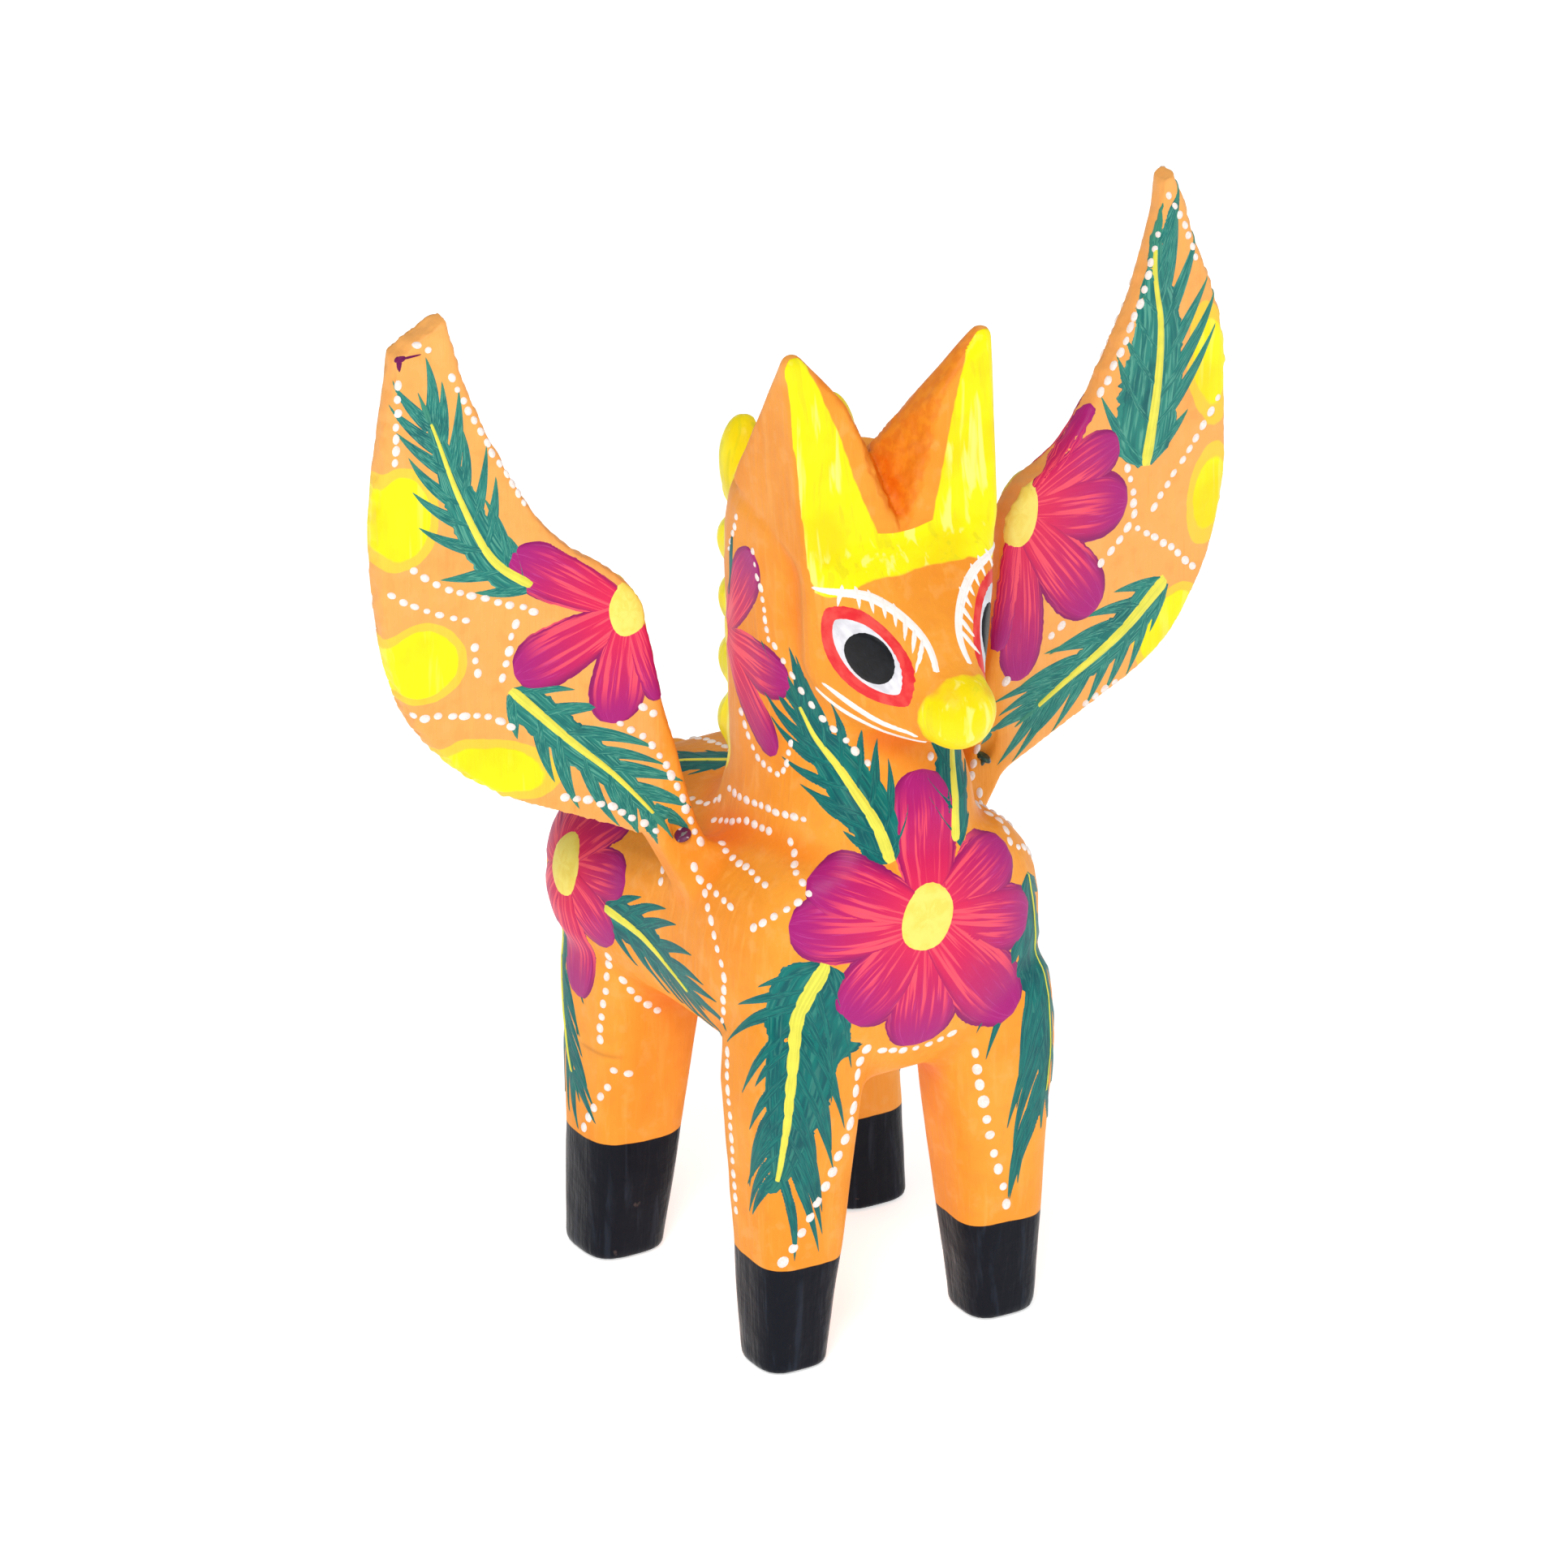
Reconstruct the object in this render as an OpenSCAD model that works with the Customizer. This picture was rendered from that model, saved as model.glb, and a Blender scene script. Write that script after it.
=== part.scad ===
// Winged, big-eared alebrije: a small painted wood figure.
// The body, head, legs, wings and tail are separate carved pieces, held by dowels, tenons and nails.
// The figure looks along -Y and its own left side is +X.

/* [Body] */
// Length of the body from chest to rump
body_length = 104; // [84:1:125]
// Width of the body across the shoulders
body_width = 74; // [60:1:90]
// Height of the body from belly to withers
body_depth = 60; // [48:1:74]
// Height of the belly above the floor
belly_height = 61.5; // [48:0.5:78]

/* [Legs] */
// Distance between the middles of the front soles
front_sole_spread = 51; // [44:1:62]
// Distance between the middles of the rear soles
rear_sole_spread = 57; // [46:1:68]
// Distance between the middles of a pair of legs where they meet the body
leg_top_spread = 47; // [38:1:56]
// Distance from the middle of the figure to the front legs
front_leg_reach = 33; // [26:1:40]
// Distance from the middle of the figure to the rear legs
rear_leg_reach = 33; // [26:1:40]
// How far the left rear sole stands forward of the right one
left_rear_lead = 6; // [0:1:8]
// Width of a front sole
front_sole_width = 16; // [12:0.5:20]
// Width of a rear sole
rear_sole_width = 18.5; // [14:0.5:23]
// Width of a leg where it meets the body
leg_top_width = 26.5; // [20:0.5:32]
// How far below the belly the leg joints lie
leg_joint_drop = 11.5; // [8:0.5:16]

/* [Neck and head] */
// Width of the neck
neck_width = 43; // [34:1:52]
// Depth of the neck at its foot, from chest to mane
neck_depth = 64; // [52:1:78]
// Height of the neck from its seat on the body to the jaw
neck_length = 36; // [28:1:45]
// Slope of the neck's seat, down to the back
neck_seat_tilt = 5; // [2:0.5:8]
// Width of the head across the brow
head_width = 46; // [38:1:56]
// Height of the head from jaw to crown
head_height = 42; // [34:1:52]
// Distance from the middle of the neck to the middle of the nose
nose_reach = 46; // [38:1:56]
// Diameter of the ball-shaped nose
nose_diameter = 16; // [12:0.5:20]

/* [Ears and mane] */
// Height of the right ear above the crown
ear_height = 41; // [30:1:52]
// How much shorter the left ear is
left_ear_drop = 4; // [0:0.5:6]
// Distance between the tips of the ears
ear_tip_spread = 46; // [36:1:56]
// Number of scallops in the mane
mane_scallops = 5; // [3:1:7]
// How far a scallop of the mane stands out
mane_depth = 8; // [4:0.5:10]
// Width of the mane
mane_width = 26; // [16:0.5:28]

/* [Wings] */
// Distance that a wing reaches out from its root
wing_reach = 73; // [60:1:90]
// Height of a wing above its root
wing_rise = 130; // [104:1:156]
// Angle by which a wing is swept back
wing_sweep = 10; // [4:1:20]
// Thickness of a wing at its root
wing_root_thickness = 10; // [8.5:0.5:13]
// Thickness of a wing along its outer edge
wing_edge_thickness = 6; // [4:0.5:8]

/* [Tail] */
// Length of the hanging tail
tail_length = 50; // [38:1:60]
// Greatest width of the tail
tail_width = 15; // [11:0.5:20]

/* [Joints] */
// Diameter of the dowel in each leg
leg_dowel_diameter = 8; // [6:0.5:10]
// Length of the dowel in each leg
leg_dowel_length = 26; // [18:1:32]
// Diameter of the dowel in the neck
neck_dowel_diameter = 12; // [8:0.5:15]
// Length of the dowel in the neck
neck_dowel_length = 36; // [26:1:44]
// Diameter of the round tenon at the foot of a wing
wing_tenon_diameter = 6.5; // [5:0.5:8]
// Length of the round tenon at the foot of a wing
wing_tenon_length = 12; // [8:1:16]
// Diameter of the round tenon on the tail
tail_tenon_diameter = 6; // [5:0.5:8]
// Length of the round tenon on the tail
tail_tenon_length = 12; // [8:1:16]
// Diameter of a wing nail
nail_diameter = 2; // [1.6:0.1:2.6]
// Diameter of a wing nail's head
nail_head_diameter = 3.8; // [3:0.1:5]
// Length of a wing nail
nail_length = 28; // [22:1:34]
// Gap all round a dowel, tenon or nail in its hole
joint_clearance = 0.1; // [0.05:0.05:0.3]
// Gap round the foot of a wing in its seat on the shoulder
seat_clearance = 0.2; // [0.1:0.05:0.5]

/* [Hidden] */

LEFT = 1;
RIGHT = -1;
ORANGE = [0.94, 0.6, 0.22];
PALE_WOOD = [0.87, 0.76, 0.58];
STEEL = [0.55, 0.55, 0.56];
BLOCK = 400;
HOLE_EXTRA = 0.5;
$fn = 48;

// Body cross-sections from chest to rump. Each row holds percentages:
// place along the body, half width, underside and top above the belly.
BODY_SECTIONS = [
    [0, 32, 41, 82], [2, 59, 24, 92], [6, 81, 11, 98], [13, 95, 2, 100],
    [29, 100, 0, 96], [49, 97, 0, 88], [66, 103, 0, 83], [80, 111, 1, 80],
    [91, 102, 7, 76], [98, 76, 19, 68], [100, 36, 32, 56]
];
chest_y = -49;
rump_y = chest_y + body_length;

// Neck and head cross-sections, each in percent: front and back of the neck's depth from its
// middle, and width. The first column is the height in percent of the neck, then of the head.
NECK_SECTIONS = [
    [-35, -50, 54, 112], [0, -50, 51, 109], [20, -48, 48, 103], [36, -46, 46, 100],
    [54, -40, 46, 98], [72, -35, 46, 98], [90, -32, 46, 98]
];
HEAD_SECTIONS = [
    [6, -32, 46, 92], [24, -33, 46, 93], [48, -35, 46, 96], [71, -37, 44, 99],
    [90, -38, 40, 100], [100, -36, 34, 93]
];
neck_y = -15;
neck_seat_height = belly_height + 0.875 * body_depth;
jaw_height = neck_seat_height + neck_length;
crown_height = jaw_height + head_height;
leg_joint_height = belly_height - leg_joint_drop;

// Wing ribs from the foot to the tip, in percent of reach and rise:
// inner end out and up, then outer end out and up.
RIGHT_RIBS = [
    [3, 10, 16, 8], [6, 16, 32, 12], [9, 23, 48, 16], [12, 29, 62, 20], [15, 36, 74, 25],
    [17, 43, 84, 31], [20, 51, 92, 39], [28, 57, 97, 50], [40, 62, 99, 60], [51, 69, 100, 70],
    [60, 78, 99, 79], [68, 88, 97, 88], [75, 99, 95, 96], [78, 107, 94, 101]
];
LEFT_RIBS = [
    [3, 9, 16, 4], [6, 16, 32, 7], [9, 23, 48, 10], [12, 29, 64, 13], [14, 36, 80, 18],
    [15, 43, 91, 27], [17, 50, 97, 36], [24, 54, 100, 47], [36, 57, 100, 57], [47, 63, 99, 67],
    [56, 71, 97, 74], [65, 80, 93, 81], [71, 89, 88, 88], [74, 95, 84, 95], [75, 100, 80, 101]
];
FOOT_RIB = [-5, 2, 4, -4];
wing_root_x = body_width / 2 - 6;
wing_root_y = -12;
wing_root_z = belly_height + 0.74 * body_depth;
seat_collar = 2.5;
rib_chamfer = 1.2;

// Tail cross-sections in percent: distance down the tail, distance behind the seat, half width
// and half thickness of the tail's width.
TAIL_SECTIONS = [
    [0, 8, 24, 22], [8, 18, 36, 34], [22, 40, 45, 38], [46, 60, 50, 37],
    [70, 66, 46, 33], [88, 62, 33, 27], [100, 54, 18, 16]
];
tail_top = belly_height + 0.66 * body_depth;
tail_seat_height = belly_height + 0.45 * body_depth;

// The figure stands with the middle of its whole footprint, wings and tail included, at the origin.
nose_tip_y = neck_y - nose_reach - nose_diameter / 2;
tail_back_y = rump_y + tail_width;
left_wing_end = max([for (rib = LEFT_RIBS) rib[2]]);
right_wing_end = max([for (rib = RIGHT_RIBS) rib[2]]);
centre_shift = [
    -(left_wing_end - right_wing_end) / 200 * wing_reach,
    -(nose_tip_y + tail_back_y) / 2,
    0
];

// ---- Shapes shared by the pieces ----

// Slope of a smooth curve at one row of a table. It never overshoots a row's own numbers.
function row_slope(rows, i) =
    let (
        last = len(rows) - 1,
        before = rows[max(i, 1)] - rows[max(i, 1) - 1],
        after = rows[min(i, last - 1) + 1] - rows[min(i, last - 1)]
    )
        [
            for (k = [0:len(before) - 1])
                before[k] * after[k] <= 0 ? 0 : 2 * before[k] * after[k] / (before[k] + after[k])
        ];

// A point between rows i and i + 1, at a share t of the way.
function between_rows(rows, i, t) =
    (1 - t) * (1 - t) * ((1 + 2 * t) * rows[i] + t * row_slope(rows, i))
    + t * t * ((3 - 2 * t) * rows[i + 1] - (1 - t) * row_slope(rows, i + 1));

// The rows of a table, with in-between rows along a smooth curve.
function smooth_rows(rows, steps) = [
    for (i = [0:len(rows) - 2], k = [0:steps - 1]) between_rows(rows, i, k / steps),
    rows[len(rows) - 1]
];

// One coordinate of a rounded square of the given power.
function rounded(value, power) = sign(value) * pow(abs(value), 2 / power);

// The outline of a rounded square as pairs from -1 to 1.
function section(power, count) = [
    for (k = [0:count - 1])
        let (angle = 360 * (k + 0.5) / count)
            [rounded(cos(angle), power), rounded(sin(angle), power)]
];

// A closed solid through rings that all have the same number of points.
module loft(rings) {
    count = len(rings[0]);
    last = len(rings) - 1;
    sides = [
        for (r = [0:last - 1], k = [0:count - 1], half = [0, 1])
            let (a = r * count + k, b = r * count + (k + 1) % count)
                half == 0 ? [a, b + count, b] : [a, a + count, b + count]
    ];
    first_cap = [for (k = [0:count - 1]) k];
    last_cap = [for (k = [count - 1:-1:0]) last * count + k];
    polyhedron(points = [for (ring = rings) each ring], faces = concat([first_cap], sides, [last_cap]));
}

// Carries a Z-up child to a point, with its Z axis along a direction.
module along(point, direction) {
    turn = atan2(direction[1], direction[0]);
    tilt = acos(direction[2] / norm(direction));
    translate(point)
        rotate([0, tilt, turn])
            children();
}

module placed() {
    translate(centre_shift)
        children();
}

// ---- Body ----

module body_block() {
    rings = [
        for (row = smooth_rows(BODY_SECTIONS, 3))
            let (
                bottom = belly_height + body_depth * row[2] / 100,
                top = belly_height + body_depth * row[3] / 100
            )
                [for (p = section(2.6, 32)) [
                    p[0] * body_width / 2 * row[1] / 100,
                    chest_y + body_length * row[0] / 100,
                    (bottom + top) / 2 - p[1] * (top - bottom) / 2
                ]]
    ];
    loft(rings);
}

// ---- Legs ----

function sole_spread(is_front) = is_front ? front_sole_spread : rear_sole_spread;
function sole_width(is_front) = is_front ? front_sole_width : rear_sole_width;
function top_y(is_front) = is_front ? -front_leg_reach : rear_leg_reach;
function sole_y(side, is_front) =
    !is_front && side == LEFT ? rear_leg_reach - left_rear_lead : top_y(is_front);

// Middle of a leg at a height: it leans from its sole to its place under the body.
function leg_middle(side, is_front, height) =
    let (share = min(height / belly_height, 1))
        [
            side * (sole_spread(is_front) * (1 - share) + leg_top_spread * share) / 2,
            sole_y(side, is_front) * (1 - share) + top_y(is_front) * share
        ];

function leg_half_width(is_front, height) =
    let (share = min(height / belly_height, 1))
        (sole_width(is_front) * (1 - share) + leg_top_width * share) / 2;

function leg_ring(side, is_front, height, scale) =
    let (
        middle = leg_middle(side, is_front, height),
        half = leg_half_width(is_front, height) * scale
    )
        [for (p = section(3.2, 28)) [middle[0] + p[0] * half, middle[1] + p[1] * half, height]];

// The part of a leg below its joint.
module leg(side, is_front) {
    sole_edge = 1;
    levels = 8;
    loft(concat(
        [leg_ring(side, is_front, 0, 0.93)],
        [
            for (k = [0:levels])
                let (height = sole_edge + (leg_joint_height - sole_edge) * k / levels)
                    leg_ring(side, is_front, height, 1)
        ]
    ));
}

// The part of a leg that is carved in one with the body, rounded off inside it.
module leg_stub(side, is_front) {
    STUB_LEVELS = [[0, 100], [40, 102], [70, 98], [85, 90], [95, 76], [100, 55]];
    stub_rise = leg_joint_drop + 0.42 * body_depth;
    loft([
        for (row = STUB_LEVELS)
            leg_ring(side, is_front, leg_joint_height + stub_rise * row[0] / 100, row[1] / 100)
    ]);
}

function leg_joint_point(side, is_front) =
    let (middle = leg_middle(side, is_front, leg_joint_height))
        [middle[0], middle[1], leg_joint_height];

// A dowel or, with a clearance, the hole for it, centred on a leg's joint.
module leg_dowel_shape(side, is_front, clearance) {
    translate(leg_joint_point(side, is_front))
        cylinder(d = leg_dowel_diameter + 2 * clearance, h = leg_dowel_length, center = true);
}

module pegged_leg(side, is_front) {
    color(ORANGE)
        difference() {
            leg(side, is_front);
            leg_dowel_shape(side, is_front, joint_clearance);
        }
}

module leg_dowel(side, is_front) {
    color(PALE_WOOD)
        leg_dowel_shape(side, is_front, 0);
}

// ---- Wings ----

function wing_x(out) = wing_root_x + wing_reach * out / 100;
function wing_z(up) = wing_root_z + wing_rise * up / 100;

// Front face of a wing's board at a distance from the middle of the figure.
function wing_front_y(x) = wing_root_y + tan(wing_sweep) * (x - wing_root_x);

foot_inner = [wing_x(FOOT_RIB[0]), wing_z(FOOT_RIB[1])];
foot_outer = [wing_x(FOOT_RIB[2]), wing_z(FOOT_RIB[3])];
foot_length = norm(foot_outer - foot_inner);
foot_along = (foot_outer - foot_inner) / foot_length;
foot_normal = [-foot_along[1], foot_along[0]];
foot_middle = (foot_inner + foot_outer) / 2;
foot_front_y = wing_front_y(foot_middle[0]);

function foot_point(side) =
    [side * foot_middle[0], foot_front_y + wing_root_thickness / 2, foot_middle[1]];
function foot_direction(side) = [side * foot_normal[0], 0, foot_normal[1]];

// An eight-cornered ring round one rib of a wing.
function rib_ring(side, inner, outer, thickness, front_inner, front_outer) =
    let (
        span = norm(outer - inner),
        cut = rib_chamfer,
        corners = [
            [0, cut], [cut, 0], [span - cut, 0], [span, cut],
            [span, thickness - cut], [span - cut, thickness], [cut, thickness],
            [0, thickness - cut]
        ],
        ordered = side == LEFT ? corners : [for (k = [7:-1:0]) corners[k]]
    )
        [
            for (c = ordered)
                let (
                    share = c[0] / span,
                    point = inner + (outer - inner) * share,
                    front = front_inner + (front_outer - front_inner) * share
                )
                    [side * point[0], front + c[1], point[1]]
        ];

function wing_ring(side, row, thickness) =
    let (
        inner = [wing_x(row[0]), wing_z(row[1])],
        outer = [wing_x(row[2]), wing_z(row[3])]
    )
        rib_ring(side, inner, outer, thickness, wing_front_y(inner[0]), wing_front_y(outer[0]));

// The foot's own rib, moved off the seat along the foot's normal.
function foot_ring(side, rise) =
    rib_ring(side, foot_inner + foot_normal * rise, foot_outer + foot_normal * rise,
        wing_root_thickness, foot_front_y, foot_front_y);

module wing_board(side) {
    rows = smooth_rows(side == LEFT ? LEFT_RIBS : RIGHT_RIBS, 3);
    last = len(rows) - 1;
    loft(concat(
        [foot_ring(side, 0), foot_ring(side, seat_collar)],
        [
            for (k = [0:last])
                let (share = min(1, k / (0.6 * last)))
                    wing_ring(side, rows[k],
                        wing_root_thickness * (1 - share) + wing_edge_thickness * share)
        ]
    ));
}

// A wing's round tenon or, with a clearance, the hole for it in the shoulder.
module wing_tenon(side, clearance, extra) {
    along(foot_point(side), -foot_direction(side))
        translate([0, 0, -seat_collar])
            cylinder(
                d = wing_tenon_diameter + 2 * clearance,
                h = wing_tenon_length + extra + seat_collar
            );
}

// The flat seat that is pared into the shoulder for a wing's foot.
module wing_seat(side) {
    height = 12;
    along(foot_point(side), foot_direction(side))
        translate([0, 0, height / 2])
            cube([
                foot_length + 2 * seat_clearance,
                wing_root_thickness + 2 * seat_clearance,
                height
            ], center = true);
}

// A wing nail goes in at the front face above the foot and passes the middle of the seat.
nail_out = 8;
nail_up = 8;
nail_sink = 0.6;
function nail_start(side) =
    [side * wing_x(nail_out), wing_front_y(wing_x(nail_out)) + nail_sink, wing_z(nail_up)];
function nail_direction(side) = foot_point(side) - nail_start(side);

module nail_shape(side) {
    head = nail_head_diameter / 2;
    shank = nail_diameter / 2;
    rise = 0.9;
    point_length = 3;
    along(nail_start(side), nail_direction(side))
        rotate_extrude()
            polygon([
                [0, -rise], [0.7 * head, -0.8 * rise], [head, -0.3 * rise],
                [head, 0], [shank, 0], [shank, nail_length - point_length], [0, nail_length]
            ]);
}

// The hole for a nail, with room above for its head.
module nail_hole(side) {
    along(nail_start(side), nail_direction(side)) {
        cylinder(d = nail_diameter + 2 * joint_clearance, h = nail_length + HOLE_EXTRA);
        translate([0, 0, -2 * wing_root_thickness])
            cylinder(d = nail_head_diameter + 4 * joint_clearance, h = 2 * wing_root_thickness);
    }
}

module wing(side) {
    color(ORANGE)
        difference() {
            union() {
                wing_board(side);
                wing_tenon(side, 0, 0);
            }
            nail_hole(side);
        }
}

module wing_nail(side) {
    color(STEEL)
        nail_shape(side);
}

// ---- Neck and head ----

function neck_ring(row, height, width) =
    let (
        front = neck_y + neck_depth * row[1] / 100,
        back = neck_y + neck_depth * row[2] / 100
    )
        [
            for (p = section(3, 32))
                let (narrowing = 1 - 0.3 * pow(max(p[1], 0), 2))
                    [
                        p[0] * narrowing * width / 2 * row[3] / 100,
                        (front + back) / 2 + p[1] * (back - front) / 2,
                        height
                    ]
        ];

neck_heights = [
    for (row = NECK_SECTIONS) [neck_seat_height + neck_length * row[0] / 100, row]
];
head_heights = [
    for (row = HEAD_SECTIONS) [jaw_height + head_height * row[0] / 100, row]
];

module neck_block() {
    loft(concat(
        [for (pair = neck_heights) neck_ring(pair[1], pair[0], neck_width)],
        [for (pair = head_heights) neck_ring(pair[1], pair[0], head_width)]
    ));
}

// Back of the neck at a height, which the mane follows.
function neck_back(height) =
    neck_y + neck_depth / 100 * lookup(height, [
        for (pair = concat(neck_heights, head_heights)) [pair[0], pair[1][2]]
    ]);

// A ridge down the nape, carved into scallops.
module mane() {
    steps = 8;
    foot = neck_seat_height + 0.16 * neck_length;
    top = crown_height - 0.06 * head_height;
    rings = [
        for (k = [0:mane_scallops * steps])
            let (
                height = foot + (top - foot) * k / (mane_scallops * steps),
                swell = 0.25 + 0.75 * pow(abs(sin(180 * k / steps)), 0.7),
                root = mane_depth,
                middle = neck_back(height) - root / 2 + mane_depth * swell / 2,
                half = (root + mane_depth * swell) / 2
            )
                [for (p = section(2.2, 16)) [
                    p[0] * mane_width / 2 * (0.7 + 0.3 * swell),
                    middle + p[1] * half,
                    height
                ]]
    ];
    loft(rings);
}

brow_height = crown_height - 0.14 * head_height;
nose_height = jaw_height + 0.17 * head_height;
face_y = neck_y - 0.34 * neck_depth;

module ball(place, radius) {
    translate(place)
        sphere(r = radius, $fn = 32);
}

// The wedge of the face, from brow and cheeks to the nose.
module snout() {
    brow_round = 3;
    cheek_round = 3.5;
    jaw_round = 2.5;
    cheek_y = face_y + 2;
    chin_y = neck_y - 0.84 * nose_reach;
    bridge = [0, neck_y - nose_reach + 4, nose_height + 1.5];
    hull() {
        for (side = [LEFT, RIGHT]) {
            ball([side * 0.43 * head_width, face_y, brow_height], brow_round);
            ball([side * 0.38 * head_width, cheek_y, jaw_height + 0.28 * head_height], cheek_round);
            ball([side * 0.26 * head_width, cheek_y, jaw_height + 0.01 * head_height], jaw_round);
            ball([side * 0.09 * head_width, chin_y, jaw_height + 0.01 * head_height], jaw_round);
        }
        ball(bridge, 0.4 * nose_diameter);
    }
    ball([0, neck_y - nose_reach, nose_height], nose_diameter / 2);
}

// A tall ear: flat in front, cut away inside to the notch, sloping back to the nape.
module ear(side) {
    edge = 1.5;
    tip_round = 2.4;
    foot = crown_height - edge;
    height = ear_height - (side == LEFT ? left_ear_drop : 0);
    hull() {
        ball([side * ear_tip_spread / 2, face_y + 5, crown_height + height - tip_round], tip_round);
        ball([side * 0.27 * head_width, face_y + 3, crown_height + 0.66 * height], edge);
        ball([side * 0.46 * head_width, face_y - 1, brow_height], 1.5 * edge);
        ball([side * 0.04 * head_width, face_y - 1, foot - 1], edge);
        ball([side * 0.04 * head_width, face_y + 12, foot + 0.3 * ear_height], edge);
        ball([side * 0.44 * head_width, neck_y + 0.14 * neck_depth, foot + 3], edge);
        ball([side * 0.2 * head_width, neck_y + 0.18 * neck_depth, foot - 4], edge);
    }
}

// Everything on one side of the sloping plane between neck and body.
module neck_plane_block(above) {
    translate([0, neck_y, neck_seat_height])
        rotate([-neck_seat_tilt, 0, 0])
            translate([0, 0, (above ? 1 : -1) * BLOCK / 2])
                cube(BLOCK, center = true);
}

// The neck's dowel or, with a clearance, the hole for it, square to the seat.
module neck_dowel_shape(clearance) {
    translate([0, neck_y, neck_seat_height])
        rotate([-neck_seat_tilt, 0, 0])
            cylinder(d = neck_dowel_diameter + 2 * clearance, h = neck_dowel_length, center = true);
}

module head_and_neck() {
    color(ORANGE)
        difference() {
            union() {
                neck_block();
                snout();
                ear(LEFT);
                ear(RIGHT);
                mane();
            }
            neck_plane_block(false);
            neck_dowel_shape(joint_clearance);
        }
}

module neck_dowel() {
    color(PALE_WOOD)
        neck_dowel_shape(0);
}

// ---- Tail ----

module tail_tenon(clearance, extra) {
    translate([0, rump_y, tail_seat_height])
        rotate([90, 0, 0])
            translate([0, 0, -0.3 * tail_width])
                cylinder(
                    d = tail_tenon_diameter + 2 * clearance,
                    h = tail_tenon_length + extra + 0.3 * tail_width
                );
}

module tail() {
    rings = [
        for (row = smooth_rows(TAIL_SECTIONS, 3))
            [for (p = section(2.2, 24)) [
                p[0] * tail_width * row[2] / 100,
                rump_y + tail_width * row[1] / 100 - p[1] * tail_width * row[3] / 100,
                tail_top - tail_length * row[0] / 100
            ]]
    ];
    color(ORANGE)
        union() {
            difference() {
                loft(rings);
                translate([0, rump_y - BLOCK / 2, 0])
                    cube(BLOCK, center = true);
            }
            tail_tenon(0, 0);
        }
}

// ---- Body with its seats and holes ----

module torso() {
    color(ORANGE)
        difference() {
            union() {
                body_block();
                for (side = [LEFT, RIGHT], is_front = [true, false])
                    leg_stub(side, is_front);
            }
            neck_plane_block(true);
            neck_dowel_shape(joint_clearance);
            tail_tenon(joint_clearance, HOLE_EXTRA);
            for (side = [LEFT, RIGHT]) {
                wing_seat(side);
                wing_tenon(side, joint_clearance, HOLE_EXTRA);
                nail_hole(side);
                for (is_front = [true, false])
                    leg_dowel_shape(side, is_front, joint_clearance);
            }
        }
}

placed() torso();
placed() head_and_neck();
placed() neck_dowel();
placed() pegged_leg(LEFT, true);  // front_left_leg
placed() pegged_leg(RIGHT, true);  // front_right_leg
placed() pegged_leg(LEFT, false);  // rear_left_leg
placed() pegged_leg(RIGHT, false);  // rear_right_leg
placed() leg_dowel(LEFT, true);  // front_left_dowel
placed() leg_dowel(RIGHT, true);  // front_right_dowel
placed() leg_dowel(LEFT, false);  // rear_left_dowel
placed() leg_dowel(RIGHT, false);  // rear_right_dowel
placed() wing(LEFT);  // left_wing
placed() wing(RIGHT);  // right_wing
placed() wing_nail(LEFT);  // left_wing_nail
placed() wing_nail(RIGHT);  // right_wing_nail
placed() tail();
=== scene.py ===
"""A carved and painted wooden winged figure: its visual model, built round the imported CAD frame.

All shapes are worked out in millimetres in the frame's own axes and turned to metres as meshes are made.
The figure faces -Y, and its own left is +X.
"""

import math

import bmesh
import bpy
import numpy as np
import openvdb
from mathutils import Matrix, Vector
from mathutils.bvhtree import BVHTree


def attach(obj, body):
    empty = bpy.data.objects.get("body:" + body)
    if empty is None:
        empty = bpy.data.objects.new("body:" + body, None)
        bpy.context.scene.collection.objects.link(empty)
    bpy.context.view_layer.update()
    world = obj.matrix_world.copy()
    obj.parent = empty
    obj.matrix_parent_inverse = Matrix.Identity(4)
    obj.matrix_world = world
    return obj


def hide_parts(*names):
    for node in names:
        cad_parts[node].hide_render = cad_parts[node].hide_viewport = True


MM = 0.001
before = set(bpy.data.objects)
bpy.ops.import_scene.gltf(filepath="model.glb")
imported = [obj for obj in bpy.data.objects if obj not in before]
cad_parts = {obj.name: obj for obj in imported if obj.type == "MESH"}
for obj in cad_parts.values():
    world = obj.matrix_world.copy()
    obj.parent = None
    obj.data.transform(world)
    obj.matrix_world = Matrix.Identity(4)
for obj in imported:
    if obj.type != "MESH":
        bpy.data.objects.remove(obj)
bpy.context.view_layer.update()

# ---------------------------------------------------------------- camera, light and floor

CAMERA_TURN = math.radians(-30.6)
CAMERA_RISE = math.radians(25.7)
CAMERA_TARGET = Vector((-4.4, 2.1, 114.9)) * MM
CAMERA_DISTANCE = 6.0
FRAME_WIDTH = 0.3314


def make_camera():
    back = Vector((
        math.sin(CAMERA_TURN) * math.cos(CAMERA_RISE),
        -math.cos(CAMERA_TURN) * math.cos(CAMERA_RISE),
        math.sin(CAMERA_RISE),
    ))
    right = Vector((math.cos(CAMERA_TURN), math.sin(CAMERA_TURN), 0))
    up = back.cross(right)
    data = bpy.data.cameras.new("camera")
    data.sensor_width = 36
    data.lens = data.sensor_width * CAMERA_DISTANCE / FRAME_WIDTH
    data.clip_start = 0.5
    data.clip_end = 40
    camera = bpy.data.objects.new("camera", data)
    turn = Matrix((right, up, back)).transposed().to_4x4()
    camera.matrix_world = Matrix.Translation(CAMERA_TARGET + back * CAMERA_DISTANCE) @ turn
    bpy.context.scene.collection.objects.link(camera)
    bpy.context.scene.camera = camera


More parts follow.
